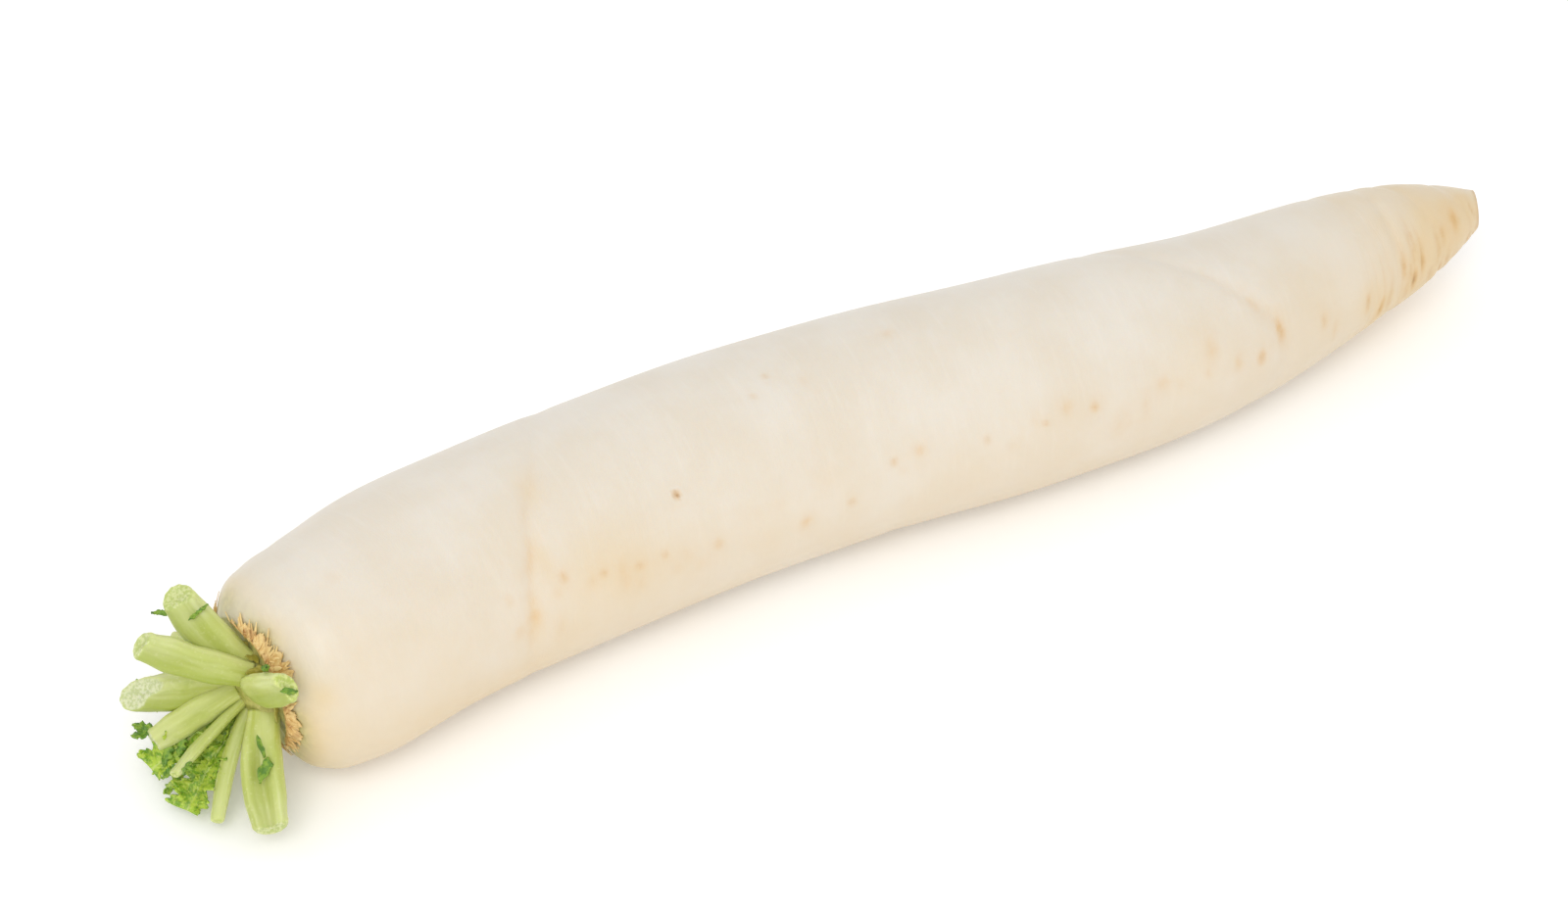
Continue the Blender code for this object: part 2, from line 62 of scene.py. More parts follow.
# share of the length from the crown's rim, then sideways bow as a share of the length
BOW = (
    (0.0, 0.004), (0.05, 0.003), (0.12, 0.0155), (0.25, 0.022), (0.42, 0.0165),
    (0.6, -0.0075), (0.73, -0.0175), (0.88, -0.0055), (1.0, 0.001),
)
# share of the length, then the line's height as a share of the radius
LINE_HEIGHT = (
    (0.0, 0.93), (0.06, 0.975), (0.25, 0.99), (0.45, 0.965), (0.62, 0.915),
    (0.75, 0.85), (0.88, 0.775), (0.95, 0.74), (1.0, 0.7),
)
# share of the length, then the radius as a share of the widest
GIRTH = (
    (0.0, 0.56), (0.008, 0.755), (0.022, 0.895), (0.045, 0.965), (0.08, 0.995),
    (0.2, 1.0), (0.34, 0.99), (0.5, 0.965), (0.62, 0.935), (0.7, 0.87),
    (0.8, 0.75), (0.88, 0.62), (0.94, 0.465), (0.975, 0.315), (0.992, 0.225),
    (1.0, 0.18), (1.012, 0.115),
)
# The tip's slanted cut: its slope, the side cut back most in degrees from the top, and how
# far past the line's end it crosses the line
TIP_CUT = (0.65, 78, 0.0012)
TIP_CUT_STEPS = 4  # times the cut's place is worked out again with the radius there
TIP_SHARE = 0.855
# share of the length, depth, half width, slant along the root, deepest side in degrees
# from the top, positive towards -Y
CREASES = (
    (0.215, 0.0005, 0.003, -0.02, 40),
    (0.48, 0.0003, 0.004, -0.006, 150),
    (0.7, 0.0005, 0.003, 0.024, 45),
    (0.868, 0.0005, 0.0018, 0.003, -90),
    (0.895, 0.0005, 0.0018, -0.003, 60),
    (0.925, 0.0006, 0.0018, 0.004, -80),
    (0.948, 0.0005, 0.0016, -0.002, 170),
    (0.968, 0.0005, 0.0014, 0.002, -60),
)
# How far the shoulder stands outwards and towards the leaves, its reach as a share of the
# length, and its side in degrees from the top
SHOULDER_BULGE = (0.0012, 0.003, 0.022, -50)
SHOULDER_SHARE = 0.085
LUMP_DEPTH = 0.00035
LUMP_SIZE = 0.03

# ---- the root's fine skin ----
SKIN_SIDES = 200
SKIN_STEP = 0.0009
DOME_RINGS = 26
LEDGE_RINGS = 10
LEDGE_FOLD = 0.0004
CUT_RINGS = 9
CUT_SUNK = 0.0002
CUT_GRAIN_SIZE = 0.0011
CUT_GRAIN_DEPTH = 0.00012
TAIL_START = 0.72  # share of the length where the tail's colour begins
STAIN_AND_SHADE_TOP = -20  # the side, in degrees from the top, that is least stained and least shaded
BRINK = 0.0008  # the width of the worn brown edge of the cut
# Each mark on the crown, from its middle to the rim, and on the cut, from its edge inwards
END_MARKS = {
    "tan": ((0.12, 0.12), (0.75, 0.75)),
    "stain_and_shade": ((0.3, 0.3), (0.9, 0.9)),
    "dark": ((0.0, 0.0), (0.7, 0.05)),
    "green": ((1.0, 0.8), (0.0, 0.0)),
    "underside_shade": ((0.5, 0.5), (0.5, 0.5)),
}
# Root scars and marks on the near side: share of the length, side in degrees from the
# top, half width along the root, stretch round it, how tan and how dark
SCARS = (
    (0.148, 66, 0.0015, 1, 0.25, 0), (0.151, 84, 0.0014, 1, 0.3, 0),
    (0.166, 80, 0.0013, 1.2, 0.4, 0), (0.186, 92, 0.0013, 2.2, 0.2, 0),
    (0.193, 66, 0.0012, 1, 0.6, 0.1), (0.186, 72, 0.0012, 1, 0.25, 0),
    (0.213, 74, 0.0013, 1, 0.25, 0), (0.223, 72, 0.0011, 1, 0.5, 0.1),
    (0.237, 74, 0.0011, 1.6, 0.3, 0), (0.238, 82, 0.0012, 1.6, 0.25, 0),
    (0.25, 76, 0.0012, 1, 0.5, 0.1), (0.25, 87, 0.0013, 1.4, 0.2, 0),
    (0.271, 76, 0.0011, 1, 0.45, 0.1), (0.28, 87, 0.0015, 1, 0.18, 0),
    (0.288, 81, 0.0014, 1, 0.18, 0), (0.29, 50, 0.001, 1, 0.9, 1),
    (0.298, 90, 0.0017, 1, 0.18, 0), (0.313, 82, 0.0012, 1, 0.45, 0.1),
    (0.345, 73, 0.0015, 1, 0.12, 0), (0.364, 73, 0.0014, 1, 0.12, 0),
    (0.383, 88, 0.0013, 1, 0.65, 0), (0.4, 69, 0.003, 1.5, 0.12, 0),
    (0.42, 86, 0.0012, 1, 0.45, 0.1), (0.457, 71, 0.0011, 1, 0.45, 0.1),
    (0.464, 77, 0.0011, 1, 0.15, 0), (0.478, 69, 0.0014, 1, 0.45, 0),
    (0.528, 73, 0.001, 1.2, 0.3, 0.1), (0.546, 80, 0.0011, 1, 0.15, 0),
    (0.564, 71, 0.0014, 1, 0.15, 0), (0.571, 73, 0.0008, 1, 0.5, 0.2),
    (0.587, 68, 0.0014, 1.2, 0.4, 0), (0.607, 72, 0.0011, 1, 0.75, 0.1),
    (0.628, 87, 0.0028, 1.3, 0.25, 0), (0.648, 81, 0.0011, 3.5, 0.2, 0),
    (0.662, 71, 0.0013, 1.2, 0.4, 0), (0.676, 75, 0.0014, 1, 0.15, 0),
    (0.702, 62, 0.0013, 1.8, 0.45, 0), (0.698, 75, 0.0008, 1.4, 0.3, 0),
    (0.722, 76, 0.001, 2, 0.45, 0), (0.741, 79, 0.001, 1.8, 0.8, 0.2),
    (0.759, 68, 0.001, 2.6, 0.85, 0.2), (0.8, 77, 0.001, 2, 0.55, 0.1),
    (0.812, 90, 0.0008, 3.5, 0.3, 0), (0.849, 84, 0.0009, 3, 0.6, 0.2),
    (0.867, 100, 0.001, 2.6, 0.9, 0.3), (0.893, 72, 0.0008, 3.2, 0.5, 0.2),
    (0.905, 92, 0.001, 3, 1.0, 0.8), (0.914, 78, 0.0009, 2.4, 0.7, 0.3),
    (0.941, 62, 0.0012, 2, 0.6, 0.1), (0.958, 52, 0.0016, 1.6, 0.9, 0.1),
    (0.388, 8, 0.0009, 1, 0.35, 0.1), (0.372, 17, 0.0009, 1, 0.3, 0.1),
    (0.41, 17, 0.0009, 1, 0.25, 0), (0.484, 3, 0.0014, 1, 0.3, 0),
    (0.052, 13, 0.0011, 1.4, 0.2, 0),
)
SCAR_DEPTH = 0.0002
FAR_SCARS = 34  # how many lie in a row along the other side
FAR_SCAR_SIDE = -105
FAR_SCAR_SPREAD = 7
FAR_SCAR_START, FAR_SCAR_REACH = 0.16, 0.78  # shares of the length
# Soft stains: share, side, half width along the root, stretch round it, how tan
STAINS = (
    (0.019, 66, 0.0032, 1.3, 0.45), (0.196, 20, 0.003, 1.8, 0.3),
    (0.183, 56, 0.0026, 2.2, 0.35), (0.166, 82, 0.0026, 2.2, 0.35),
    (0.215, 64, 0.012, 0.7, 0.22), (0.24, 78, 0.016, 0.6, 0.22),
    (0.69, 66, 0.011, 1, 0.22), (0.79, 60, 0.012, 1, 0.22),
    (0.957, 55, 0.0045, 1.6, 0.55), (0.912, 88, 0.0042, 1.8, 0.75),
    (0.925, 70, 0.006, 2.4, 0.4), (0.98, 80, 0.004, 3, 0.45),
    (0.87, 98, 0.0045, 1.4, 0.45), (0.85, 85, 0.0045, 1.2, 0.3),
)
WRINKLE_START = 0.85  # share of the length where the tail's fine wrinkles begin
WRINKLES = 60
LONG_WRINKLE_EVERY = 8
WRINKLE_HALVES = (0.0004, 0.001)  # half widths
WRINKLE_DEPTHS = (0.0001, 0.00028)
WRINKLE_SIDES = (80, 95, 112, 130, -110, 180)  # degrees from the top
# The soft tan lines in two creases: place, slant, middle side in degrees, reach round it
CREASE_LINES = ((0.215, -0.02, 58, 0.75), (0.7, 0.024, 48, 0.45))
CREASE_LINE_DEPTH = 0.0001

# ---- what grows from the crown, as in the solids ----
# leaf_stalk_01 to leaf_stalk_11: foot (turn, out, height), lean (turn, spread, roll),
# length, width, channel, how far the cut end leans towards the knife's side, and how pale
# the flesh and the cut end are
STALKS = (
    ((300, 0.005, 0.004), (309, 95, 20), 0.0266, 0.0098, 0.55, 0.1, 0.9, 0.1),
    ((328, 0.0084, 0.0034), (46, 39, 50), 0.0266, 0.0094, 0.42, 0.6, 0.2, 0.5),
    ((350, 0.008, 0.0034), (44, 69, 60), 0.0222, 0.0104, 0.25, 1.2, 0.5, 0.4),
    ((252, 0.0084, 0.003), (235, 69, -66), 0.028, 0.0106, 1.15, 0.4, 0.4, 0.5),
    ((200, 0.005, 0.0044), (222, 52, -60), 0.0284, 0.0042, 0.2, 0.4, 0.2, 0.3),
    ((130, 0.0015, 0.0055), (150, 33, 0), 0.0244, 0.0074, 0.3, 0.6, 0.9, 0.8),
    ((200, 0.0034, 0.0054), (226, 23, -20), 0.0238, 0.0044, 0.2, 0.3, 0, 0.3),
    ((120, 0.0045, 0.0048), (92, 27, 0), 0.0222, 0.0114, 0.45, 1.8, 0.8, 1),
    ((122, 0.007, 0.0034), (122, 70, 0), 0.024, 0.008, 0.35, 0.2, 0.5, 0.6),
    ((152, 0.007, 0.0034), (150, 48, 0), 0.021, 0.007, 0.3, 0.2, 0.5, 0.6),
    ((70, 0.008, 0.0034), (88, 57, 0), 0.0165, 0.0064, 0.3, 0.4, 0.5, 0.6),
)
KNIFE = (315, 66)  # turn, and spread from the crown's axis
END_TAPER = 0.14
STALK_THICKNESS = 0.62
STALK_STEPS = 44
STALK_SIDES = 48
RIBS = 11
RIB_DEPTH = 0.00008
STALK_LUMP_SIZE = 0.005
STALK_LUMP_DEPTH = 0.00018
# A cut end's rounded edge and nearly flat face: each ring's size, and how far forward it stands
CUT_EDGE = (
    (0.985, 0.0003), (0.95, 0.0006), (0.9, 0.0009), (0.84, 0.0011), (0.78, 0.0012),
    (0.7, 0.0012), (0.58, 0.0011), (0.44, 0.0009), (0.28, 0.0008), (0.12, 0.0007),
)
# Leaflets left on the stalks: the stalk's number, share along it, side round it in
# degrees (0 and 180 its edges, 90 its inner face), turn from the stalk's line, roll,
# reach, half width, lobes
LEAFLETS = (
    (1, 0.8, 200, 20, 60, 0.0044, 0.001, 3),
    (3, 0.95, 180, 53, 0, 0.005, 0.0008, 2),
    (3, 0.79, 92, 88, 90, 0.0062, 0.0005, 2),
    (4, 0.05, 90, -6, 90, 0.0104, 0.0019, 1),
    (4, 0.44, 110, 18, 90, 0.0068, 0.0017, 1),
    (6, 0.97, 0, 42, 0, 0.006, 0.0016, 3),
    (6, 0.99, 0, 10, 20, 0.0056, 0.002, 3),
    (6, 0.9, 180, 50, 0, 0.006, 0.0019, 3),
    (6, 0.74, 180, 58, 0, 0.005, 0.0017, 3),
    (7, 0.95, 0, 44, 0, 0.0056, 0.0015, 3),
    (7, 0.86, 180, 48, 0, 0.0054, 0.0016, 3),
    (9, 0.92, 0, 42, 0, 0.0058, 0.0017, 3),
    (9, 0.82, 180, 50, 0, 0.0056, 0.0016, 3),
    (10, 0.92, 0, 42, 0, 0.0058, 0.0016, 3),
    (10, 0.82, 180, 50, 0, 0.0054, 0.0016, 3),
)
# A folded leaflet over one cut end: stalk, side, reach, half width, lobes; then how far
# forward and across it lies, and how much of its reach is behind that place
FACE_LEAFLET = (1, 313, 0.0046, 0.0008, 1)
FACE_LEAFLET_PLACE = (0.0013, 0.0012, 0.58)
LEAFLET_ROWS = 26
LEAFLET_ACROSS = 12
LEAFLET_WAVES = 1.6
LEAFLET_CURL = 0.0006
LEAFLET_RUFFLE = 0.00014  # for each lobe
LEAFLET_SUNK = 0.001  # how deep one that stands off the stalk starts in it
LEAFLET_LIFT = 0.0011  # how far above the stalk's middle one that lies on it is
LEAFLET_WIDENS, LEAFLET_TAPER = 0.25, 0.85
# young_leaf_1 to young_leaf_3: foot, lean, length, half width
YOUNG_LEAVES = (
    ((172, 0.0065, 0.004), (212, 40, -45), 0.03, 0.0062),
    ((165, 0.005, 0.005), (166, 30, -20), 0.0285, 0.005),
    ((112, 0.0052, 0.005), (110, 42, 0), 0.024, 0.005),
)
# Smaller frilly blades between the stalks, with the same measures
FRILLS = (
    ((168, 0.006, 0.0044), (188, 36, 30), 0.0296, 0.0046),
    ((158, 0.0058, 0.0046), (158, 34, -10), 0.029, 0.0044),
    ((180, 0.0062, 0.004), (210, 40, -50), 0.0285, 0.004),
    ((176, 0.0062, 0.0042), (200, 45, 20), 0.0278, 0.0042),
    ((140, 0.006, 0.004), (138, 56, 10), 0.022, 0.0042),
    ((96, 0.006, 0.004), (98, 50, -10), 0.02, 0.004),
)
# Small pointed bracts round the crown's rim: turn, spread, length, half width
BRACTS = (
    (326, 34, 0.0062, 0.0013), (313, 58, 0.0052, 0.0012), (342, 48, 0.0046, 0.0013),
    (12, 42, 0.005, 0.0013), (268, 66, 0.0046, 0.0012), (240, 50, 0.005, 0.0013),
    (210, 58, 0.0044, 0.0012), (172, 62, 0.005, 0.0013), (100, 60, 0.0048, 0.0013),
    (52, 56, 0.0046, 0.0012), (286, 74, 0.004, 0.0013), (302, 50, 0.0048, 0.0012),
)
BRACT_FOOT = (0.0112, 0.0008)  # out and height, as of the stalks
BRACT_ROWS = 18
LEAF_ROWS = 130
LEAF_ACROSS = 36
LEAF_LOBES = 7
LEAF_WAVES = 3.6
RUFFLE = 0.00096
BLADE_THICKNESS = 0.0005
# dry_leaf_base_1 to dry_leaf_base_4: first and last turn round the rim in degrees, reach
# at the first and at the last, and how brown it is
DRY_BASES = (
    (236, 284, 0.0012, 0.0022, 0.45),
    (304, 366, 0.0042, 0.0006, 0.1),
    (62, 106, 0.003, 0.0026, 0.25),
    (140, 196, 0.0028, 0.003, 0.25),
)
FLAKES_A_DEGREE = 1.1
FLAKE_STEPS = 10
FLAKE_SIDES = 10
FLAKE_START = -0.0016  # from the rim, outwards
FLAKE_HALF_THICKNESS = 0.00012
SCALE_START = -0.002
SCALE_ACROSS = 9  # points across a dry base's scale
SCALE_THICKNESS = 0.0003
SCALE_CRUMPLE = 0.0004

# ---- light, floor and camera ----
SKY_STRENGTH = 0.87
SOFTBOX_PLACE = (-1.0, -1.1, 1.6)
SOFTBOX_SIZE = 1.2
SOFTBOX_WATTS = 16.0
SOFTBOX_COLOUR = (1.0, 0.99, 0.97)
FLOOR_GLOW = 0.12  # of the pale floor, as a light table has
FLOOR_SIZE = 6.0
CAMERA_PLACE = (-0.4937, -0.7441, 0.7686)
CAMERA_TURN = (50.0, 0.0, -32.3375)  # degrees
CAMERA_LENS = 102.26
SENSOR_WIDTH = 36.0


# ---- numbers ----
def curve_through(points, where):
    """Heights at `where` of a smooth curve through (place, height) points."""
    x, y = np.array(points).T
    slope = np.gradient(y, x)
    i = np.clip(np.searchsorted(x, where) - 1, 0, len(x) - 2)
    span = x[i + 1] - x[i]
    t = (where - x[i]) / span
    rise = y[i] * (2 * t**3 - 3 * t**2 + 1) + y[i + 1] * (3 * t**2 - 2 * t**3)
    lean = slope[i] * (t**3 - 2 * t**2 + t) + slope[i + 1] * (t**3 - t**2)
    return rise + span * lean


def ease(t):
    """0 to 1 with a soft start and end."""
    t = np.clip(t, 0.0, 1.0)
    return t * t * (3 - 2 * t)


def bell(x):
    return np.exp(-(x**2))


def unit(vectors):
    return vectors / np.linalg.norm(vectors, axis=-1, keepdims=True)


def turns_round(count):
    """The angles of that many points round a ring."""
    return np.arange(count) * 2 * pi / count


def rough(points, size, seed=0.0):
    """Smooth noise from -1 to 1 at each point, with lumps of that size."""
    shift = Vector((seed, 1.7 * seed, 0.6 * seed))
    flat = np.asarray(points).reshape(-1, 3) / size
    values = [noise.noise(Vector(p) + shift) for p in flat]
    return np.array(values).reshape(np.shape(points)[:-1])


# ---- meshes ----
def add_object(name, data):
    made = bpy.data.objects.new(name, data)
    bpy.context.scene.collection.objects.link(made)
    return made


def piece(name, points, faces, marks, finish):
    """A smooth shown mesh that rides on the radish, with its marks as attributes."""
    mesh = bpy.data.meshes.new(name)
    mesh.from_pydata([tuple(p) for p in points], [], faces)
    for label, values in marks.items():
        values = np.asarray(values, np.float32)
        if values.ndim == 1:
            kind, key = "FLOAT", "value"
        else:
            kind, key = "FLOAT_VECTOR", "vector"
        attribute = mesh.attributes.new(label, kind, "POINT")
        attribute.data.foreach_set(key, values.ravel())
    mesh.materials.append(finish)
    mesh.shade_smooth()
    made = add_object(name, mesh)
    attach(made, "root")
    return made


def tube_faces(rings, sides, start=0):
    """Faces over rings of points, and over each end to a middle point of its own."""
    faces = []
    for i in range(rings - 1):
        for j in range(sides):
            a, b = start + i * sides + j, start + i * sides + (j + 1) % sides
            faces.append((a, b, b + sides, a + sides))
    first, last = start + rings * sides, start + (rings - 1) * sides
    for j in range(sides):
        k = (j + 1) % sides
        faces.append((first, start + k, start + j))
        faces.append((first + 1, last + j, last + k))
    return faces


def with_ends(values):
    """One value for each point of a tube: its rings, then the middles of both ends."""
    ends = np.stack([values[0].mean(axis=0), values[-1].mean(axis=0)])
    return np.concatenate([values.reshape(-1, *values.shape[2:]), ends])


def tube(name, rings, marks, finish):
    faces = tube_faces(*rings.shape[:2])
    marks = {label: with_ends(values) for label, values in marks.items()}
    return piece(name, with_ends(rings), faces, marks, finish)


def slab_faces(rows, columns):
    """Faces of a thin closed sheet whose under points follow all its over points."""
    under = rows * columns
    faces = []
    for i in range(rows - 1):
        for j in range(columns - 1):
            a = i * columns + j
            quad = (a, a + 1, a + columns + 1, a + columns)
            faces.append(quad)
            faces.append(tuple(under + k for k in reversed(quad)))
    edge = list(range(columns))
    edge += [i * columns + columns - 1 for i in range(1, rows)]
    edge += [(rows - 1) * columns + j for j in range(columns - 2, -1, -1)]
    edge += [i * columns for i in range(rows - 2, 0, -1)]
    for a, b in zip(edge, edge[1:] + edge[:1]):
        faces.append((b, a, under + a, under + b))
    return faces


def two_faces(sheet, thickness):
    """A sheet of points as its over side, then its under side."""
    run = np.gradient(sheet, axis=0)
    cross = np.gradient(sheet, axis=1)
    half = unit(np.cross(run, cross)) * (thickness / 2)
    return np.concatenate([(sheet + half).reshape(-1, 3), (sheet - half).reshape(-1, 3)])


def straight_rod(sides, radius, distances, shift=0.0):
    """A tube's points as on a straight rod, for patterns that run along it."""
    turns = turns_round(sides)
    rod = np.zeros((len(distances), sides, 3))
    rod[..., 0] = np.cos(turns) * radius + shift
    rod[..., 1] = np.sin(turns) * radius
    rod[..., 2] = distances[:, None]
    return rod


# ---- the root's form ----
def inner_points(shares):
    """Points of the root's line, for shares from 0 to 1."""
    bow = curve_through(BOW, shares) * ROOT_LENGTH
    height = curve_through(LINE_HEIGHT, shares) * ROOT_RADIUS - FLAT_SINK
    return np.stack([shares * ROOT_LENGTH, bow, height], axis=-1)


def radius_at(shares):
    """The root's radius without its lumps and creases."""
    return curve_through(GIRTH, shares) * ROOT_RADIUS


def line_directions(shares):
    """Unit directions of the root's line, towards the tip."""
    step = 0.004
    inside = np.clip(shares, 0.0, 1.0)
    low, high = np.clip(inside - step, 0, 1), np.clip(inside + step, 0, 1)
    return unit(inner_points(high) - inner_points(low))


def line_points(shares):
    """Points of the root's line, which runs on straight past its ends."""
    inside = np.clip(shares, 0.0, 1.0)
    past = np.asarray(shares - inside)[..., None] * ROOT_LENGTH
    return inner_points(inside) + line_directions(inside) * past


def section_axes(shares):
    """(side, up) of each cross-section. side is towards -Y."""
    along = line_directions(shares)
    side = unit(np.cross(along, np.array((0.0, 0.0, 1.0))))
    return side, np.cross(side, along)


def crease_depth(shares, angles):
    """How deep the creases are there."""
    depth = np.zeros(np.broadcast(shares, angles).shape)
    for place, deep, half, slant, side in CREASES:
        off = (shares - place) * ROOT_LENGTH - slant * np.sin(angles)
        facing = 0.5 + 0.5 * np.cos(angles - radians(side))
        depth += deep * facing * bell(off / half)
    return depth


def shoulder_bulge(shares, angles):
    """How far the shoulder stands outwards and towards the leaves there."""
    out, forward, reach, side = SHOULDER_BULGE
    facing = np.maximum(0.0, np.cos(angles - radians(side))) ** 2
    size = facing * np.exp(-((shares / reach) ** 2))
    return out * size, forward * size


def slanted(shares, angles):
    """The shares at which rings' points lie, as the last rings turn to the tip's cut."""
    slope, side, reach = TIP_CUT
    facing = np.cos(angles - radians(side))
    end = np.ones(np.shape(facing))
    for _ in range(TIP_CUT_STEPS):
        radius = radius_at(end)
        end = 1.0 + (reach - slope * facing * radius) / ROOT_LENGTH
    return shares + (end - 1.0) * ease((shares - TIP_SHARE) / (1.0 - TIP_SHARE))


def skin_points(shares, angles, grow=0.0, sink=0.0):
    """Points on the root's skin, or that far outside it. angles run from the top,
    positive towards -Y; shares and angles are arrays of one shape."""
    shares = slanted(shares, angles)
    side, up = section_axes(shares)
    outward = up * np.cos(angles)[..., None] + side * np.sin(angles)[..., None]
    centre = line_points(shares)
    radius = radius_at(shares)
    body = ease(shares / SHOULDER_SHARE)
    lump = rough(centre + outward * radius[..., None], LUMP_SIZE) * LUMP_DEPTH * body
    bulge, forward = shoulder_bulge(shares, angles)
    radius = radius + bulge + lump - crease_depth(shares, angles) + grow - sink
    at = centre + outward * radius[..., None]
    at -= line_directions(shares) * (forward + grow * (1 - body))[..., None]
    at[..., 2] = np.maximum(at[..., 2], -grow)
    return at


CROWN_UP = Vector(section_axes(np.array(0.0))[1])
CROWN_SIDE = Vector(section_axes(np.array(0.0))[0])
CROWN_AXIS = -Vector(line_directions(np.array(0.0)))
CROWN_RIM = Vector(line_points(np.array(0.0)))


def frame_offset():
    """From the root's own line, which starts at x = 0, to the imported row's frame."""
    low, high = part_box("root")
    shares = np.linspace(0.0, 1.0, 160)[:, None]
    angles = np.radians(np.arange(0, 360, 9))[None, :]
    skin = skin_points(*np.broadcast_arrays(shares, angles)).reshape(-1, 3)
    top = CROWN_RIM + CROWN_AXIS * CROWN_HEIGHT
    own_low = np.minimum(skin.min(axis=0), top)
    own_high = skin.max(axis=0)
    middle = (low + high) / 2 - Vector((own_low + own_high) / 2)
    return Vector((middle.x, middle.y, 0.0))


OFFSET = np.array(frame_offset())


# ---- the root's skin ----
def scars():
    """Every root scar: share, angle, half width, stretch round the root, tan, dark."""
    draw = random.Random(3)
    found = [(place, radians(side), *rest) for place, side, *rest in SCARS]
    for k in range(FAR_SCARS):
        share = FAR_SCAR_START + FAR_SCAR_REACH * (k + draw.random()) / FAR_SCARS
        angle = radians(draw.gauss(FAR_SCAR_SIDE, FAR_SCAR_SPREAD))
        size = 0.0008 + 0.0008 * draw.random() ** 1.5
        stretch = draw.uniform(0.9, 1.3) + 1.6 * share**3
        tan = 0.15 + 0.6 * draw.random() ** 1.4
        found.append((share, angle, size, stretch, tan, 0.3 * tan**2))
    return found


def apart_from(angle, angles):
    """How far the angles are from that one, the short way round."""
    return (angles - angle + pi) % (2 * pi) - pi


def scar_relief(shares, angles, radii):
    """(sunk depth, tan stain, dark core) of the root scars."""
    sunk, tan, dark = (np.zeros(angles.shape) for _ in range(3))
    for place, angle, size, stretch, tone, core in scars():
        rows = np.abs(shares - place).min(axis=1) * ROOT_LENGTH < 6 * size
        across = apart_from(angle, angles[rows]) * radii[rows] / (size * stretch)
        down = (shares[rows] - place) * ROOT_LENGTH / size
        reach = across**2 + down**2
        pit = np.exp(-reach)
        rim = np.exp(-((np.sqrt(reach) - 1.8) ** 2) * 3)
        sunk[rows] += SCAR_DEPTH * (0.4 + core) * (pit - 0.4 * rim)
        tan[rows] += tone * (0.7 * np.exp(-reach / 1.3) + 0.3 * np.exp(-reach / 6))
        tan[rows] -= 0.25 * core * rim
        dark[rows] += core * np.exp(-reach * 2.2)
    return sunk, tan, dark


def soft_stains(shares, angles, radii):
    """The broad tan stains' strength."""
    stain = np.zeros(angles.shape)
    for place, side, size, stretch, tone in STAINS:
        across = apart_from(radians(side), angles) * radii / (size * stretch)
        down = (shares - place) * ROOT_LENGTH / size
        stain += tone * np.exp(-(across**2) - down**2)
    return stain


def wrinkle_relief(shares, angles, points):
    """(depth, stain) of the fine cross wrinkles on the tail, most of them low down."""
    draw = random.Random(11)
    depth, stain = np.zeros(angles.shape), np.zeros(angles.shape)
    wander = rough(points, 0.006, 3.0) * 0.0011
    for k in range(WRINKLES):
        place = WRINKLE_START + (1.0 - WRINKLE_START) * draw.random() ** 0.8
        side = radians(draw.choice(WRINKLE_SIDES))
        side += draw.gauss(0, 0.25)
        long_one = k % LONG_WRINKLE_EVERY == 0
        reach = draw.uniform(0.7, 1.3) if long_one else draw.uniform(0.15, 0.4)
        half, deep = draw.uniform(*WRINKLE_HALVES), draw.uniform(*WRINKLE_DEPTHS)
        off = (shares - place) * ROOT_LENGTH + wander
        line = bell(off / half) * bell(apart_from(side, angles) / reach)
        depth += deep * line
        stain += line * (0.15 if long_one else 0.6)
    return depth, np.clip(stain, 0, 1)


def crease_lines(shares, angles, points):
    """(depth, stain) of the two soft tan lines that run in the body's creases."""
    depth, stain = np.zeros(angles.shape), np.zeros(angles.shape)
    wander = rough(points, 0.012, 5.0) * 0.002 + rough(points, 0.004, 6.0) * 0.0006
    broken = ease(0.45 + 1.3 * rough(points, 0.008, 8.0))
    for place, slant, side, reach in CREASE_LINES:
        off = (shares - place) * ROOT_LENGTH - slant * np.sin(angles) + wander
        arc = bell(apart_from(radians(side), angles) / reach)
        depth += CREASE_LINE_DEPTH * bell(off / 0.001) * arc
        stain += (0.3 * bell(off / 0.0013) * broken + 0.14 * bell(off / 0.0035)) * arc
    return depth, stain


def dome_rings(angles):
    """The crown's dome and the ledge round its foot."""
    outward = np.outer(np.cos(angles), CROWN_UP) + np.outer(np.sin(angles), CROWN_SIDE)
    rings = []
    for i in range(1, DOME_RINGS + 1):
        slope = 0.5 * pi * i / DOME_RINGS
        height = CROWN_LEDGE + (CROWN_HEIGHT - CROWN_LEDGE) * max(cos(slope), 0) ** 0.8
        radius = CROWN_RADIUS * sin(slope) ** 0.9
        rings.append(np.array(CROWN_RIM + CROWN_AXIS * height) + outward * radius)
    rim = skin_points(np.zeros(len(angles)), angles)
    for i in range(1, LEDGE_RINGS):
        t = i / LEDGE_RINGS
        fold = LEDGE_FOLD * sin(pi * t) * np.sin(9 * angles + 2)
        ring = rings[DOME_RINGS - 1] * (1 - t) + rim * t
        rings.append(ring - np.outer(np.abs(fold), CROWN_AXIS))
    return np.array(rings)


def cut_rings(rim):
    """The flat cut across the tip: a worn edge, then a face sunk a little."""
    middle = rim.mean(axis=0)
    spokes = rim - middle
    along = unit(np.cross(spokes, np.roll(spokes, -1, axis=0)).sum(axis=0))
    along *= np.sign(along @ line_directions(np.array(1.0)))
    rings = []
    for i in range(1, CUT_RINGS + 1):
        share = 1 - i / (CUT_RINGS + 0.5)
        sunk = CUT_SUNK * ease(3 * i / CUT_RINGS)
        rings.append(middle + spokes * share - along * sunk)
    rings = np.array(rings)
    grain = CUT_GRAIN_DEPTH * (1 + rough(rings, CUT_GRAIN_SIZE, 2.0))
    return rings - along * grain[..., None]


def tail_share(shares):
    """0 on the body, then up to 1 at the tip."""
    return ease((shares - TAIL_START) / (1 - TAIL_START))


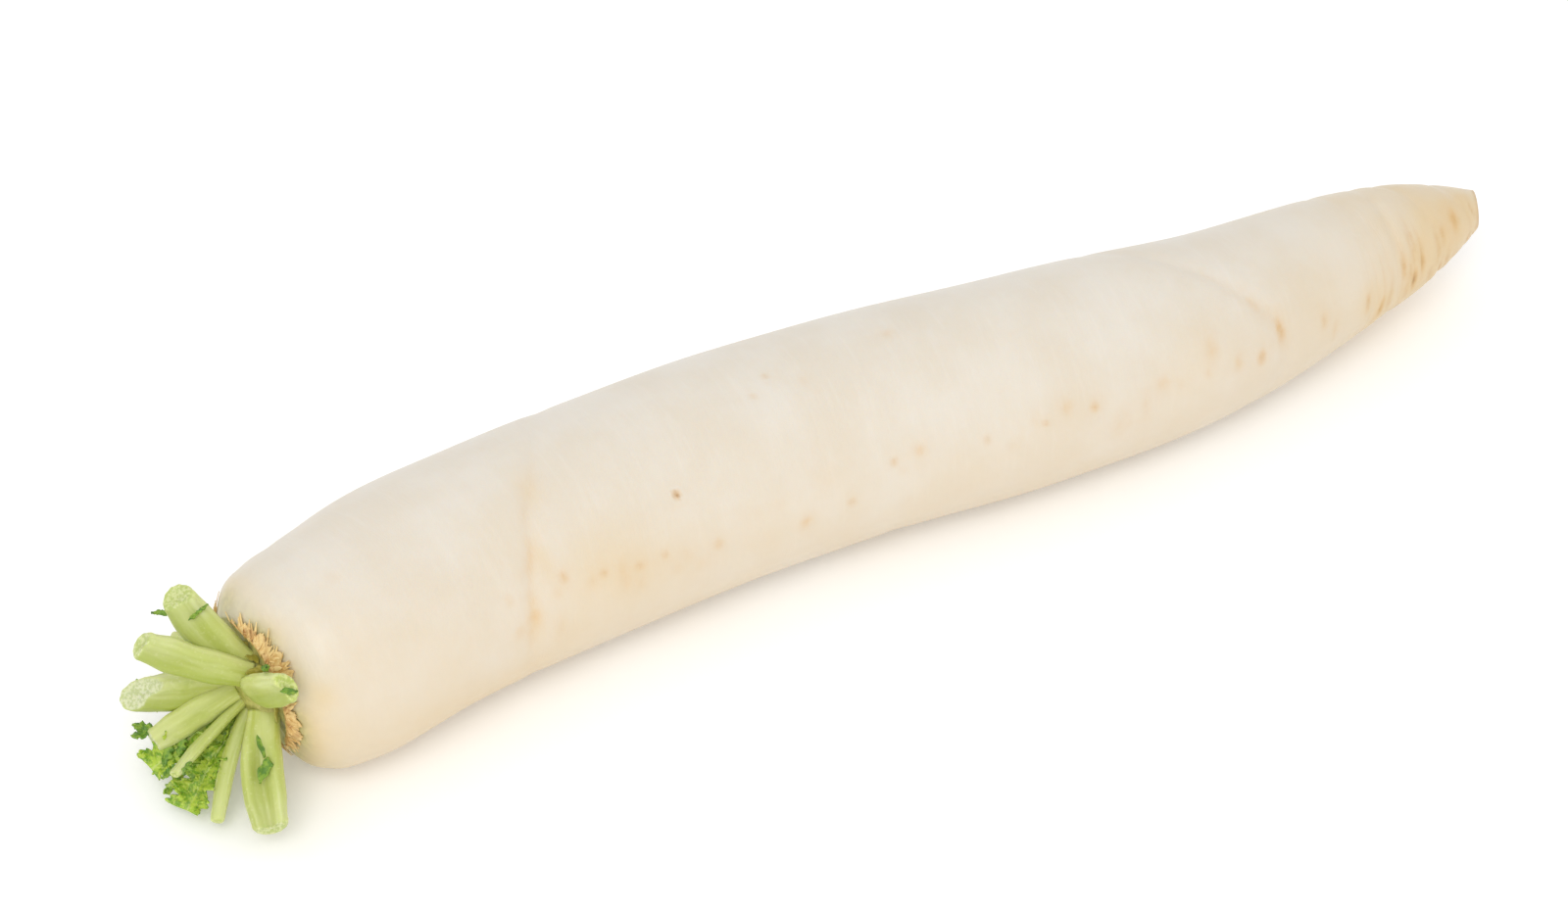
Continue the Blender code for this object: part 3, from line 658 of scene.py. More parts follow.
def body_relief(shares, angles, bare, radii):
    """(depth, tan, dark) of the scars, wrinkles and crease lines on the bare skin."""
    tail = tail_share(shares)
    sunk, tan, dark = scar_relief(shares, angles, radii)
    wrinkle, wrinkle_stain = wrinkle_relief(shares, angles, bare)
    line, line_stain = crease_lines(shares, angles, bare)
    tan += line_stain + 0.8 * wrinkle_stain * tail
    dark += 0.3 * wrinkle_stain * tail**2
    return sunk + wrinkle + line, tan, dark


def body_stain_and_shade(shares, angles, bare, radii):
    """(stains and shade, mottle, low): the broad stains with the painted shade on the lower
    side, the mottle in them, and how low a side is.
    """
    tail = tail_share(shares)
    mottle = rough(bare, 0.009, 12.0)
    blotch = rough(bare, 0.02, 21.0)
    low = 0.5 - 0.5 * np.cos(angles - radians(STAIN_AND_SHADE_TOP))
    stain_and_shade = soft_stains(shares, angles, radii)
    stain_and_shade += tail * (0.3 + 0.35 * tail + 0.35 * low + 0.35 * tail * low + 0.25 * mottle)
    # darker and warmer towards the lower side, most by the shoulder: painted shade, with some
    # warm stain
    stain_and_shade += low * (0.24 + 0.6 * bell(shares / 0.28)) * (0.75 + 0.5 * blotch)
    stain_and_shade += 0.75 * bell(shares * ROOT_LENGTH / 0.0055) * (0.8 + 0.6 * mottle)
    return stain_and_shade, mottle, low


def over_all(label, body):
    """A mark's values over the crown's rings, the body's and the cut's."""
    on_crown, on_cut = END_MARKS[label]
    sides = np.ones(SKIN_SIDES)
    crown = np.outer(np.linspace(*on_crown, DOME_RINGS + LEDGE_RINGS - 1), sides)
    cut = np.outer(np.linspace(*on_cut, CUT_RINGS), sides)
    return np.clip(np.concatenate([crown, body, cut]), 0, 1)


def build_skin(finish):
    """The root's skin, from the middle of the crown's dome to the cut tip."""
    turns = turns_round(SKIN_SIDES)
    along = np.linspace(0.0, 1.0, round(ROOT_LENGTH / SKIN_STEP) + 1)
    rows, angles = np.broadcast_arrays(along[:, None], turns[None, :])
    shares = slanted(rows, angles)
    radii = radius_at(shares)
    bare = skin_points(rows, angles)
    depth, tan, dark = body_relief(shares, angles, bare, radii)
    stain_and_shade, mottle, low = body_stain_and_shade(shares, angles, bare, radii)
    body = skin_points(rows, angles, sink=depth)
    crown, cut = dome_rings(turns), cut_rings(body[-1])

    out = shares * ROOT_LENGTH
    brink = bell((1.0 - rows) * ROOT_LENGTH / BRINK)
    speckle = 0.16 * tail_share(shares) ** 2 * (low + np.maximum(mottle, 0))
    values = {
        "tan": tan + 0.7 * brink + speckle,
        "stain_and_shade": stain_and_shade,
        "dark": dark + 0.3 * brink,
        "green": bell(out / 0.0022) * (0.45 + 0.6 * mottle) + 0.07 * bell(out / 0.012),
        # how far round towards the underside, for the painted shade there
        "underside_shade": 0.5 - 0.5 * np.cos(angles),
    }
    marks = {label: over_all(label, body_values) for label, body_values in values.items()}
    along = np.concatenate([np.zeros(len(crown)), along, np.ones(len(cut))])
    marks["straight"] = straight_rod(SKIN_SIDES, ROOT_RADIUS, along * ROOT_LENGTH)
    rings = np.concatenate([crown, body, cut]) + OFFSET
    made = tube("root_skin", rings, marks, finish)
    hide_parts("root")


# ---- stems ----
def round_crown(turn):
    """Unit direction out from the crown's axis at that turn, in degrees."""
    turn = radians(turn)
    return CROWN_UP * cos(turn) - CROWN_SIDE * sin(turn)


def stem_frames(foot, lean, length, steps):
    """(centre, along, inner, across) along a stem that bends outwards."""
    foot_turn, out, height = foot
    turn, spread, roll = lean
    at = CROWN_RIM + CROWN_AXIS * height + round_crown(foot_turn) * out
    outward = round_crown(turn)
    rolled = radians(roll)
    frames = []
    for i in range(steps + 1):
        angle = radians(spread) * (0.86 + 0.24 * float(ease(i / steps)))
        along = CROWN_AXIS * cos(angle) + outward * sin(angle)
        inner = CROWN_AXIS * sin(angle) - outward * cos(angle)
        inner = inner * cos(rolled) + along.cross(inner) * sin(rolled)
        frames.append([np.array(v) for v in (at, along, inner, along.cross(inner))])
        at = at + along * (length / steps)
    return frames


def stalk_width(width, t):
    """The stalk's width at share t: narrow at the foot, and again at the cut end."""
    return width * (0.76 + 0.24 * ease(t / 0.5)) * (1 - END_TAPER * ease((t - 0.75) / 0.25))


def stalk_depth(channel, angles):
    """How far the surface lies from the middle towards each side, per width."""
    y = np.sin(angles)
    thick = STALK_THICKNESS * np.where(y > 0, 0.42, 0.58)
    return thick * y * (1 - channel * bell(np.cos(angles) / 0.42) * (y > 0))


def stalk_ring(there, width, channel, phase):
    """One cross-section: ribbed outside, with a channel down the inner face."""
    centre, _along, inner, across = there
    a = turns_round(STALK_SIDES)
    x, y = np.cos(a), np.sin(a)
    rib = RIB_DEPTH * np.cos(RIBS * a + phase) * np.where(y > 0.2, 0.3, 1.0)
    wide = 0.5 * width * x * (1 + 0.06 * y) + rib * x
    deep = width * stalk_depth(channel, a) + rib * y
    return centre + np.outer(wide, across) + np.outer(deep, inner)


def cut_slope(along, cut):
    """How far forward the cut end of a stalk lies, per distance from its middle."""
    turn, spread = KNIFE
    side = np.array(CROWN_AXIS) * cos(radians(spread))
    side = side + np.array(round_crown(turn)) * sin(radians(spread))
    facing = along @ side
    return (along * facing - side) * cut / (1 + cut * facing)


def stalk_rings(frames, width, channel, cut, phase):
    """The stalk's rings and its cut end's, and each one's share along, past 1 on the cut."""
    centre, heading = frames[-1][:2]
    slope = cut_slope(heading, cut)
    rings, along = [], []
    for i, there in enumerate(frames):
        t = i / STALK_STEPS
        ring = stalk_ring(there, stalk_width(width, t), channel * ease(2 * t), phase)
        # The rings turn little by little to the slope of the cut.
        turned = max(0.0, (t - 0.3) / 0.7)
        rings.append(ring + np.outer((ring - there[0]) @ slope, heading) * turned)
        along.append(t)
    edge = rings[-1]
    for scale, forward in CUT_EDGE:
        rings.append(centre + (edge - centre) * scale + heading * forward)
        along.append(2.0 - scale)
    rings = np.array(rings)
    lumps = rough(rings[1:STALK_STEPS], STALK_LUMP_SIZE, phase) * STALK_LUMP_DEPTH
    rings[1:STALK_STEPS] += lumps[..., None]
    return rings, np.array(along)


def stalk_marks(rings, along, pale_flesh, pale_cut):
    """What the stalk's finish reads at each point."""
    angles = turns_round(STALK_SIDES)
    spokes = rings - rings.mean(axis=1, keepdims=True)
    round_it, down_it = np.ones(STALK_SIDES), np.ones(len(along))
    return {
        "along": np.outer(np.clip(along, 0, 1), round_it),
        # inner, edge and upper carry the painted shade in the channel and underneath, and the
        # painted highlight on top and along the edges
        "inner": np.outer(down_it, np.sin(angles)),
        "edge": np.outer(down_it, np.abs(np.cos(angles)) ** 4),
        "cut": np.outer(np.clip((along - 1.03) / 0.16, 0, 1), round_it),
        "upper": spokes[..., 2] / np.linalg.norm(spokes, axis=-1),
        "pale_flesh": np.outer(down_it, pale_flesh * round_it),
        "pale_cut": np.outer(down_it, pale_cut * round_it),
    }


def build_stalk(name, spec, finish):
    foot, lean, length, width, channel, cut, pale_flesh, pale_cut = spec
    phase = random.Random(name).uniform(0, 6)
    frames = stem_frames(foot, lean, length, STALK_STEPS)
    rings, along = stalk_rings(frames, width, channel, cut, phase)
    marks = stalk_marks(rings, along, pale_flesh, pale_cut)
    distances = np.clip(along, 0, 1) * length
    marks["straight"] = straight_rod(STALK_SIDES, width / 2, distances, phase * 0.01)
    made = tube(name + "_flesh", rings + OFFSET, marks, finish)
    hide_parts(name)


def frilled_sheet(frames, half_width, lobes, ruffle, waves, phase, across_count,
                  widens=0.45, taper=0.0):
    """A leaf blade's points: lobed edges that wave, on a sunk midrib. It widens over that
    share of its length, and narrows again at its end by the taper if there is one."""
    rows = len(frames)
    sheet = np.zeros((rows, across_count + 1, 3))
    v = np.linspace(-1, 1, across_count + 1)
    shift = 0.5 if taper else 0.0
    for i, (centre, _along, inner, across) in enumerate(frames):
        t = i / (rows - 1)
        lobed = 0.7 + 0.2 * np.cos(2 * pi * (lobes * t + 0.2 * v + shift))
        lobed += 0.1 * np.cos(2 * pi * (2.7 * lobes * t + 0.35 * v + phase))
        wide = half_width * (0.14 + 0.86 * ease(t / widens)) * lobed
        wide *= 1 - taper * ease((t - 0.6) / 0.4)
        wave = np.sin(2 * pi * (waves * t + 0.35 * v) + phase)
        wave += 0.5 * np.sin(2 * pi * (2.3 * waves * t - 0.6 * v) + 2 * phase)
        wave += 0.12 * np.sin(2 * pi * (4.7 * waves * t + 0.9 * v) + 3 * phase)
        lift = np.abs(v) ** 1.5 * wide * 0.45
        lift += wave * ruffle * np.abs(v) ** 1.4 * ease(2 * t)
        sheet[i] = centre + np.outer(wide * v, across) + np.outer(lift, inner)
    return sheet


def leaf_marks(rows, columns):
    """Shares along and across the blade, for each point of both its faces."""
    t = np.repeat(np.linspace(0, 1, rows), columns)
    v = np.tile(np.linspace(-1, 1, columns), rows)
    return {"along": np.tile(t, 2), "across": np.tile(v, 2)}


def blade(name, sheet, finish):
    """A thin leaf piece with that sheet of points in its middle."""
    size = sheet.shape[:2]
    points = two_faces(sheet, BLADE_THICKNESS) + OFFSET
    return piece(name, points, slab_faces(*size), leaf_marks(*size), finish)


def build_leaf(name, spec, finish, node=None):
    """A frilly blade from the crown, in the place of a node if it has one."""
    foot, lean, length, half_width = spec
    frames = stem_frames(foot, lean, length, LEAF_ROWS)
    sheet = frilled_sheet(frames, half_width, LEAF_LOBES, RUFFLE, LEAF_WAVES, lean[0],
                          LEAF_ACROSS)
    made = blade(name + "_blade", sheet, finish)
    if node:
        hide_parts(node)


def leaflet_piece(name, start, heading, normal, reach, half_width, lobes, phase, finish):
    """A small frilly leaflet that grows from start."""
    flat = np.cross(normal, heading)
    stems = []
    for i in range(LEAFLET_ROWS + 1):
        t = i / LEAFLET_ROWS
        curl = normal * LEAFLET_CURL * sin(2.2 * t + phase) * t
        stems.append((start + heading * reach * t + curl, heading, normal, flat))
    sheet = frilled_sheet(stems, half_width, lobes, LEAFLET_RUFFLE * lobes, LEAFLET_WAVES,
                          phase, LEAFLET_ACROSS, LEAFLET_WIDENS, LEAFLET_TAPER)
    blade(name, sheet, finish)


def build_leaflets(finish):
    """The leaflets that stand on the stalks' edges, or lie on them where rolled over."""
    for number, leaflet in enumerate(LEAFLETS):
        stalk, share, side, turned, roll, reach, half_width, lobes = leaflet
        foot, lean, length, width, channel = STALKS[stalk - 1][:5]
        there = stem_frames(foot, lean, length, STALK_STEPS)[round(share * STALK_STEPS)]
        centre, along, inner, across = there
        side, turned, roll = (radians(a) for a in (side, turned, roll))
        out = across * cos(side) + inner * sin(side)
        beside = inner * cos(side) - across * sin(side)
        wide = 0.5 * cos(side) * across + stalk_depth(channel, side) * inner
        sunk = LEAFLET_SUNK * cos(roll) - LEAFLET_LIFT * sin(roll)
        start = centre + wide * stalk_width(width, share) - out * sunk
        leaning = out * cos(roll) - beside * sin(roll)
        heading = along * cos(turned) + leaning * sin(turned)
        normal = beside * cos(roll) + out * sin(roll)
        leaflet_piece(f"leaflet_{number + 1:02d}", start, heading, normal, reach,
                      half_width, lobes, number, finish)


def build_face_leaflet(finish):
    """The folded leaflet that lies over one stalk's cut end."""
    stalk, side, reach, half_width, lobes = FACE_LEAFLET
    forward, beside, back = FACE_LEAFLET_PLACE
    foot, lean, length = STALKS[stalk - 1][:3]
    centre, along, inner, across = stem_frames(foot, lean, length, STALK_STEPS)[-1]
    heading = across * cos(radians(side)) + inner * sin(radians(side))
    start = centre + along * forward + across * beside - heading * back * reach
    leaflet_piece("leaflet_in_cut", start, heading, along, reach, half_width, lobes, 1,
                  finish)


def build_bracts(finish):
    """Small pointed scales between the stalks' feet and the crown's rim."""
    for number, (turn, spread, length, half_width) in enumerate(BRACTS, 1):
        frames = stem_frames((turn, *BRACT_FOOT), (turn, spread, 0), length, BRACT_ROWS)
        v = np.linspace(-1, 1, 9)
        sheet = []
        for i, (centre, _along, inner, across) in enumerate(frames):
            t = i / BRACT_ROWS
            wide = half_width * (1 - t**1.6) * (0.8 + 0.2 * cos(9 * t)) + 0.00008
            bow = (v**2 - 0.3) * wide * 0.6
            sheet.append(centre + np.outer(v * wide, across) + np.outer(bow, inner))
        blade(f"bract_{number:02d}", np.array(sheet), finish)


# ---- the dry leaf bases ----
def dry_flake(turn, reach, width, lift, curl, sway):
    """One flat torn flake from the crown's rim out over the shoulder, as rings."""
    outward, axis = np.array(round_crown(turn)), np.array(CROWN_AXIS)
    beside = np.cross(outward, axis)
    a = turns_round(FLAKE_SIDES)
    rings = []
    for i, out in enumerate(np.linspace(FLAKE_START, reach, FLAKE_STEPS)):
        t = i / (FLAKE_STEPS - 1)
        angle = np.array([radians(-(turn + sway * t))])
        share = np.array([max(out, 0.0) / ROOT_LENGTH])
        at = skin_points(share, angle, lift + curl * t**2)[0]
        if out < 0:
            at = at + outward * out + axis * 0.0003
        torn = 1 + 0.3 * sin(9 * t + turn) + 0.25 * sin(23 * t + 3 * turn)
        point = 3 + 3 * sin(5 * turn) ** 2
        wide = width * torn * (0.7 + 0.3 * t) * (1 - t**point) + 0.00004
        cup = 0.25 * wide * sin(turn) * np.cos(a) ** 2
        rings.append(at + np.outer(np.cos(a) * wide, beside)
                     + np.outer(np.sin(a) * FLAKE_HALF_THICKNESS + cup, axis))
    return np.array(rings)


def dry_scale(first, last, first_reach, last_reach):
    """The torn scale under the flakes, as a sheet of points."""
    turns = np.arange(first, last + 0.5, 0.75)
    rim = skin_points(np.zeros(len(turns)), np.radians(-turns), 0.0004)
    ragged = 0.6 + 0.7 * rough(rim, 0.0012, 4.0) + 0.4 * rough(rim, 0.004, 9.0)
    ends = np.minimum(turns - turns[0], turns[-1] - turns) / 6
    reach = np.linspace(first_reach, last_reach, len(turns))
    reach = reach * np.clip(ragged, 0.1, 1.0) * ease(ends + 0.2)
    outward = np.array([round_crown(t) for t in turns])
    sheet = []
    for j in range(SCALE_ACROSS):
        out = SCALE_START + (reach - SCALE_START) * j / (SCALE_ACROSS - 1)
        shares = np.maximum(out, 0.0) / ROOT_LENGTH
        row = skin_points(shares, np.radians(-turns), 0.00035)
        row = row + outward * np.minimum(out, 0.0)[:, None]
        crumple = rough(row, 0.0012, 6.0) * SCALE_CRUMPLE * (j / SCALE_ACROSS)
        sheet.append(row + np.outer(crumple, np.array(CROWN_AXIS)))
    return np.array(sheet)


def build_dry_base(name, spec, finish):
    """A torn scale and its flakes, as one mesh over the crown's rim."""
    first, last, first_reach, last_reach, brown = spec
    draw = random.Random(name)
    sheet = dry_scale(first, last, first_reach, last_reach)
    rows, columns = sheet.shape[:2]
    points = list(two_faces(sheet, SCALE_THICKNESS))
    faces = slab_faces(rows, columns)
    shade = list(np.tile(0.6 + 0.6 * rough(sheet, 0.002, 2.0).ravel(), 2))
    along = list(leaf_marks(rows, columns)["along"])
    count = int((last - first) * FLAKES_A_DEGREE)
    for k in range(count):
        share = (k + draw.random()) / count
        turn = first + (last - first) * share
        reach = first_reach + (last_reach - first_reach) * share
        reach *= 0.1 + 0.95 * draw.random()
        rings = dry_flake(turn, reach, 0.0004 + 0.001 * draw.random() ** 2,
                          draw.uniform(0.0002, 0.0005), 0.0005 * draw.random() ** 3,
                          draw.gauss(0, 9))
        start = len(points)
        points += list(with_ends(rings))
        faces += tube_faces(*rings.shape[:2], start)
        shade += [brown + 0.8 * draw.random() ** 1.5] * (len(points) - start)
        t = np.repeat(np.linspace(0, 1, rings.shape[0]), rings.shape[1])
        along += list(t) + [0.0, 1.0]
    made = piece(name + "_flakes", np.array(points) + OFFSET, faces,
                 {"shade": np.clip(shade, 0, 1), "along": along}, finish)
    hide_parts(name)


# ---- finishes ----
class Finish:
    """A material whose nodes are added one call at a time."""

    def __init__(self, name, **sockets):
        self.material = bpy.data.materials.new(name)
        self.material.use_nodes = True
        self.tree = self.material.node_tree
        self.shader = self.tree.nodes["Principled BSDF"]
        for label, value in sockets.items():
            self.shader.inputs[label.replace("_", " ")].default_value = value

    def node(self, kind, inputs, **settings):
        made = self.tree.nodes.new(kind)
        for label, value in settings.items():
            setattr(made, label, value)
        for key, value in inputs.items():
            if isinstance(value, bpy.types.NodeSocket):
                self.tree.links.new(value, made.inputs[key])
            else:
                made.inputs[key].default_value = value
        return made

    def mark(self, name):
        """One of the mesh's own values."""
        return self.node("ShaderNodeAttribute", {}, attribute_name=name).outputs["Fac"]

    def place(self, name=None, stretch=(1, 1, 1)):
        """Coordinates to paint by: a mesh's own, or the object's, stretched."""
        if name:
            start = self.node("ShaderNodeAttribute", {}, attribute_name=name).outputs["Vector"]
        else:
            start = self.node("ShaderNodeTexCoord", {}).outputs["Object"]
        return self.node("ShaderNodeMapping", {"Vector": start, "Scale": stretch}).outputs[0]

    def noise(self, place, scale, detail=3.0, rough=0.55):
        inputs = {"Vector": place, "Scale": scale, "Detail": detail, "Roughness": rough}
        return self.node("ShaderNodeTexNoise", inputs).outputs["Fac"]

    def span(self, value, low, high, to_low=0.0, to_high=1.0):
        """value from low..high to to_low..to_high, with soft ends."""
        inputs = {0: value, 1: low, 2: high, 3: to_low, 4: to_high}
        made = self.node("ShaderNodeMapRange", inputs, interpolation_type="SMOOTHSTEP")
        return made.outputs[0]

    def maths(self, operation, values):
        total = values[0]
        for value in values[1:]:
            made = self.node("ShaderNodeMath", {0: total, 1: value}, operation=operation)
            total = made.outputs[0]
        return total

    def sum(self, *values):
        return self.maths("ADD", values)

    def times(self, *values):
        return self.maths("MULTIPLY", values)

    def mix(self, share, first, second):
        """Colours mixed by share; each is a socket or a colour."""
        first, second = (c if isinstance(c, bpy.types.NodeSocket) else (*c, 1.0)
                         for c in (first, second))
        made = self.node("ShaderNodeMix", {0: share, 6: first, 7: second}, data_type="RGBA")
        return made.outputs[2]

    def colour(self, socket):
        """Paints the whole with that colour."""
        self.painted = socket
        self.tree.links.new(socket, self.shader.inputs["Base Color"])

    def paint(self, share, colour):
        """Lays a colour over what is painted so far, as strongly as share says."""
        self.colour(self.mix(share, self.painted, colour))

    def roughness(self, socket):
        self.tree.links.new(socket, self.shader.inputs["Roughness"])

    def bump(self, height, distance):
        made = self.node("ShaderNodeBump", {"Height": height, "Distance": distance,
                                            "Strength": 1.0})
        self.tree.links.new(made.outputs[0], self.shader.inputs["Normal"])


def soft_finish(name, weight, depth, colours, gloss):
    """A finish that light goes a little way into."""
    return Finish(name, Subsurface_Weight=weight, Subsurface_Scale=depth,
                  Subsurface_Radius=colours, Specular_IOR_Level=gloss)


def skin_finish():
    f = soft_finish("radish_skin", 0.22, 0.004, (1.0, 0.75, 0.5), 0.45)
    place = f.place()
    wrapped = f.place("straight", (1, 1, 9))
    cloudy = f.noise(place, 38, 4)
    faint = f.noise(wrapped, 60, 5, 0.6)
    fine = f.noise(wrapped, 240, 4, 0.6)
    patchy = f.noise(place, 420, 4, 0.65)
    f.colour(f.mix(f.span(cloudy, 0.35, 0.65), (0.735, 0.685, 0.605), (0.71, 0.645, 0.545)))
    f.paint(f.span(faint, 0.5, 0.72, 0, 0.25), (0.77, 0.73, 0.66))
    # painted shade: darker and warmer towards the underside, with some of the skin's warm tint
    f.paint(f.times(f.mark("underside_shade"), f.span(cloudy, 0.2, 0.7, 0.5, 0.9)), (0.7, 0.59, 0.445))
    # the broad tan stains, and the painted shade on the lower side
    f.paint(f.times(f.mark("stain_and_shade"), f.span(cloudy, 0.2, 0.8, 0.8, 1.0)), (0.72, 0.56, 0.33))
    # green by the crown's rim; on the crown's dome a dark olive, the green tissue with painted
    # shade between the stalks' feet
    olive = f.mix(f.span(patchy, 0.4, 0.62), (0.27, 0.29, 0.035), (0.47, 0.47, 0.12))
    f.paint(f.mark("green"), olive)
    f.paint(f.times(f.mark("tan"), f.span(patchy, 0.3, 0.7, 0.6, 1.0)), (0.68, 0.43, 0.175))
    f.paint(f.times(f.mark("dark"), f.span(patchy, 0.3, 0.65, 0.4, 1.0)), (0.34, 0.17, 0.065))
    f.roughness(f.span(f.sum(faint, f.mark("tan")), 0.3, 1.4, 0.36, 0.62))
    f.bump(f.sum(f.times(fine, 0.5), f.times(patchy, 0.5)), 0.00012)
    return f.material


def stalk_finish():
    f = soft_finish("stalk_green", 0.3, 0.003, (0.8, 1.0, 0.25), 0.5)
    fibre = f.noise(f.place("straight", (1, 1, 0.07)), 800, 3, 0.6)
    broad = f.noise(f.place("straight", (1, 1, 0.12)), 300, 2, 0.5)
    cloudy = f.noise(f.place("straight", (1, 1, 0.5)), 220, 3)
    fleck = f.noise(f.place(), 1100, 3, 0.6)
    along = f.mark("along")
    f.colour(f.mix(f.mark("pale_flesh"), (0.38, 0.44, 0.07), (0.56, 0.6, 0.19)))
    # yellower at the foot, paler at the cut end, then streaks, clouds and flecks
    f.paint(f.span(along, 0.0, 0.4, 0.6, 0), (0.47, 0.49, 0.07))
    f.paint(f.span(along, 0.6, 1.0, 0, 0.6), (0.56, 0.59, 0.29))
    f.paint(f.span(broad, 0.5, 0.66, 0, 0.4), (0.66, 0.7, 0.3))
    f.paint(f.span(broad, 0.3, 0.44, 0.45, 0), (0.34, 0.39, 0.04))
    f.paint(f.span(fibre, 0.45, 0.65, 0, 0.25), (0.7, 0.73, 0.38))
    f.paint(f.span(cloudy, 0.45, 0.7, 0, 0.45), (0.36, 0.43, 0.05))
    f.paint(f.span(fleck, 0.55, 0.7, 0, 0.4), (0.66, 0.68, 0.36))
    # painted shade in the channel and underneath, painted highlight on top and along the edges
    f.paint(f.span(f.mark("inner"), 0.45, 1.0, 0, 0.3), (0.38, 0.45, 0.07))
    f.paint(f.span(f.mark("upper"), 0.55, 0.95, 0, 0.4), (0.67, 0.71, 0.3))
    f.paint(f.span(f.mark("upper"), -0.75, 0.05, 0.6, 0), (0.3, 0.37, 0.03))
    f.paint(f.span(f.mark("edge"), 0.5, 1.0, 0, 0.3), (0.7, 0.74, 0.34))
    lime = f.mix(f.span(fleck, 0.4, 0.62), (0.42, 0.5, 0.09), (0.6, 0.65, 0.23))
    pith = f.mix(f.span(fleck, 0.4, 0.62), (0.48, 0.53, 0.25), (0.64, 0.66, 0.43))
    f.paint(f.span(f.mark("cut"), 0.05, 0.9), f.mix(f.mark("pale_cut"), lime, pith))
    f.roughness(f.span(cloudy, 0.3, 0.7, 0.34, 0.5))
    f.bump(f.sum(fibre, f.times(broad, 0.7)), 0.00012)
    return f.material


def leaf_finish():
    f = soft_finish("leaf_green", 0.25, 0.002, (0.5, 1.0, 0.15), 0.5)
    place = f.place()
    mottle = f.noise(place, 620, 4, 0.6)
    fine = f.noise(place, 1700, 3, 0.6)
    across = f.node("ShaderNodeMath", {0: f.mark("across")}, operation="ABSOLUTE").outputs[0]
    f.colour(f.mix(f.span(mottle, 0.37, 0.6), (0.15, 0.3, 0.012), (0.42, 0.55, 0.05)))
    f.paint(f.span(fine, 0.52, 0.68, 0, 0.6), (0.62, 0.68, 0.18))
    f.paint(f.span(across, 0.0, 0.14, 0.8, 0), (0.52, 0.6, 0.18))
    f.roughness(f.span(mottle, 0.3, 0.7, 0.42, 0.6))
    f.bump(fine, 0.00007)
    return f.material


def dark_leaf_finish():
    f = soft_finish("leaf_dark", 0.1, 0.002, (0.5, 1.0, 0.15), 0.5)
    mottle = f.noise(f.place(), 700, 4, 0.6)
    f.colour(f.mix(f.span(mottle, 0.4, 0.62), (0.09, 0.21, 0.015), (0.24, 0.38, 0.035)))
    f.roughness(f.span(mottle, 0.3, 0.7, 0.42, 0.6))
    f.bump(mottle, 0.00015)
    return f.material


def bract_finish():
    f = soft_finish("bract_olive", 0.15, 0.002, (0.8, 1.0, 0.25), 0.4)
    mottle = f.noise(f.place(), 600, 4, 0.6)
    f.colour(f.mix(f.span(mottle, 0.35, 0.65), (0.4, 0.36, 0.05), (0.58, 0.52, 0.14)))
    f.paint(f.span(f.mark("along"), 0.5, 1.0, 0, 0.7), (0.24, 0.24, 0.03))
    f.roughness(f.span(mottle, 0.3, 0.7, 0.5, 0.7))
    f.bump(mottle, 0.00015)
    return f.material


def dry_finish():
    f = Finish("dry_leaf", Specular_IOR_Level=0.3)
    speckle = f.noise(f.place(), 1300, 4, 0.65)
    patch = f.noise(f.place(), 420, 3)
    f.colour(f.mix(f.span(f.mark("shade"), 0.1, 0.9), (0.82, 0.6, 0.26), (0.58, 0.32, 0.09)))
    f.paint(f.span(speckle, 0.45, 0.68, 0, 0.5), (0.88, 0.68, 0.33))
    f.paint(f.span(patch, 0.5, 0.62, 0, 0.75), (0.44, 0.21, 0.07))
    f.paint(f.span(f.mark("along"), 0.0, 0.45, 0.5, 0), (0.56, 0.46, 0.12))
    f.paint(f.span(f.mark("along"), 0.6, 1.0, 0, 0.45), (0.86, 0.68, 0.33))
    f.roughness(f.span(speckle, 0.2, 0.8, 0.7, 0.95))
    f.bump(speckle, 0.00015)
    return f.material


def floor_finish():
    f = Finish("floor_paper", Roughness=0.9, Specular_IOR_Level=0.1,
               Emission_Color=(1.0, 1.0, 1.0, 1.0), Emission_Strength=FLOOR_GLOW)
    grain = f.noise(f.place(), 900, 3)
    f.colour(f.mix(f.span(grain, 0.3, 0.7), (0.93, 0.928, 0.92), (0.95, 0.948, 0.942)))
    return f.material


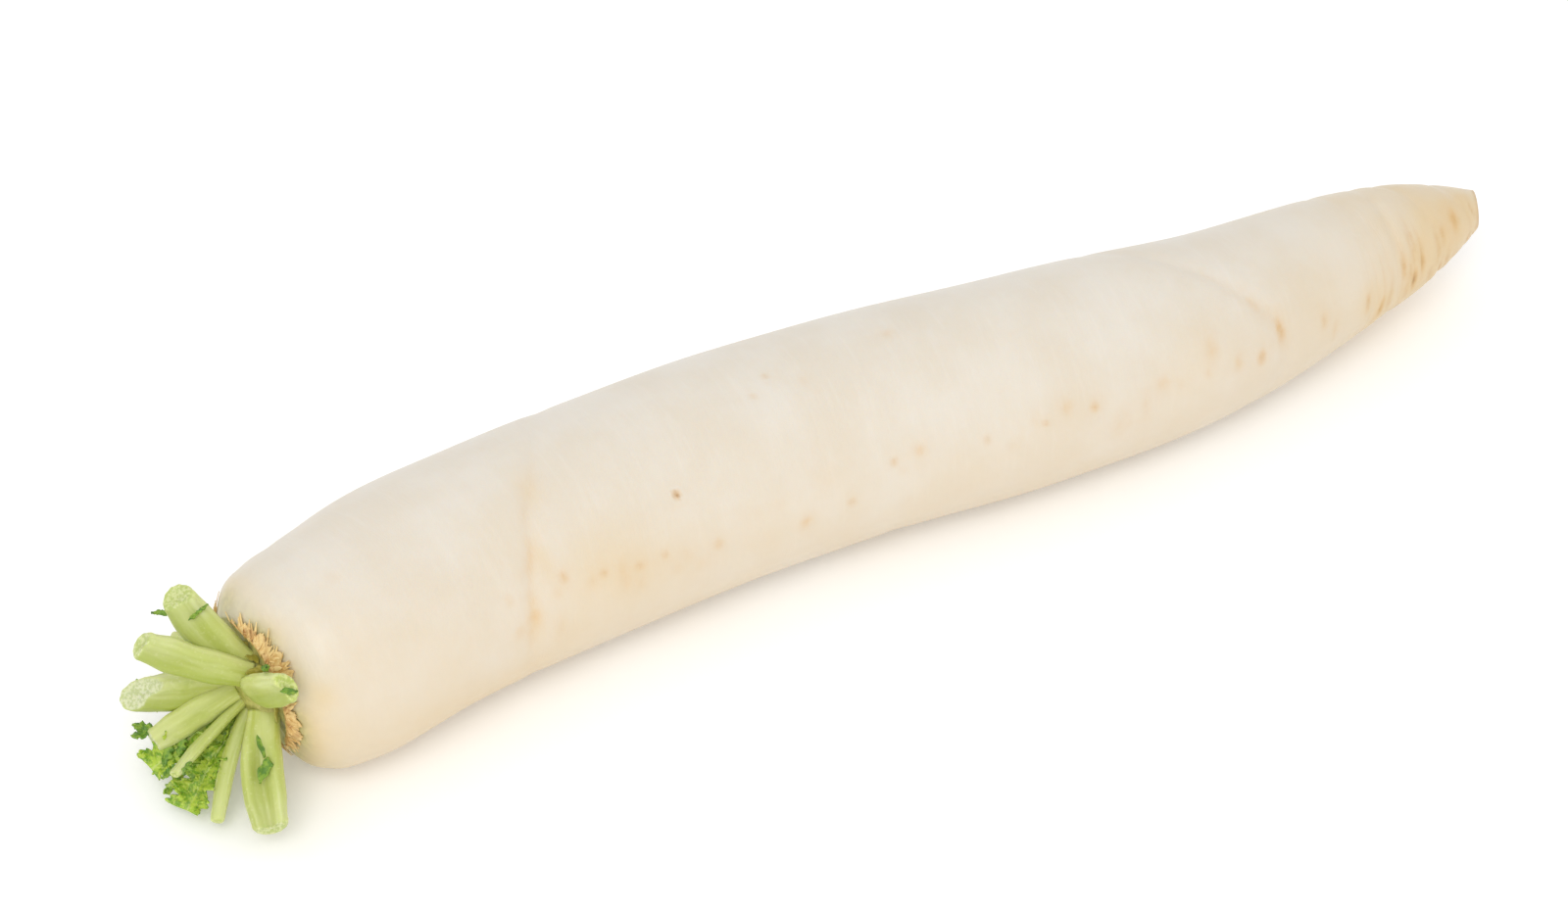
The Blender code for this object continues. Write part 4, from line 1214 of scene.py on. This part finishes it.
# ---- the studio ----
def build_floor():
    half = FLOOR_SIZE / 2
    mesh = bpy.data.meshes.new("floor")
    corners = [(-half, -half, 0), (half, -half, 0), (half, half, 0), (-half, half, 0)]
    mesh.from_pydata(corners, [], [(0, 1, 2, 3)])
    mesh.materials.append(floor_finish())
    floor = add_object("floor", mesh)


def area_light(name, place, size, watts, colour):
    """A square soft light that faces the radish."""
    data = bpy.data.lights.new(name, "AREA")
    data.shape, data.size = "SQUARE", size
    data.energy, data.color = watts, colour
    light = add_object(name, data)
    light.location = place
    light.rotation_euler = (-Vector(place)).to_track_quat("-Z", "Y").to_euler()


def build_studio():
    world = bpy.data.worlds.new("studio")
    world.use_nodes = True
    background = world.node_tree.nodes["Background"]
    background.inputs["Color"].default_value = (1.0, 1.0, 1.0, 1.0)
    background.inputs["Strength"].default_value = SKY_STRENGTH
    scene = bpy.context.scene
    scene.world = world
    scene.view_settings.view_transform = "Standard"
    area_light("softbox", SOFTBOX_PLACE, SOFTBOX_SIZE, SOFTBOX_WATTS, SOFTBOX_COLOUR)
    data = bpy.data.cameras.new("camera")
    data.sensor_width, data.lens = SENSOR_WIDTH, CAMERA_LENS
    data.clip_start, data.clip_end = 0.01, 20.0
    camera = add_object("camera", data)
    camera.location = CAMERA_PLACE
    camera.rotation_euler = tuple(radians(a) for a in CAMERA_TURN)
    scene.camera = camera


def main():
    build_skin(skin_finish())
    green, leaf, dry = stalk_finish(), leaf_finish(), dry_finish()
    for number, spec in enumerate(STALKS, 1):
        build_stalk(f"leaf_stalk_{number:02d}", spec, green)
    for number, spec in enumerate(YOUNG_LEAVES, 1):
        name = f"young_leaf_{number}"
        build_leaf(name, spec, leaf, name)
    for number, spec in enumerate(FRILLS, 1):
        build_leaf(f"frill_{number}", spec, leaf)
    dark = dark_leaf_finish()
    build_leaflets(dark)
    build_face_leaflet(dark)
    build_bracts(bract_finish())
    for number, spec in enumerate(DRY_BASES, 1):
        build_dry_base(f"dry_leaf_base_{number}", spec, dry)
    build_floor()
    build_studio()


main()
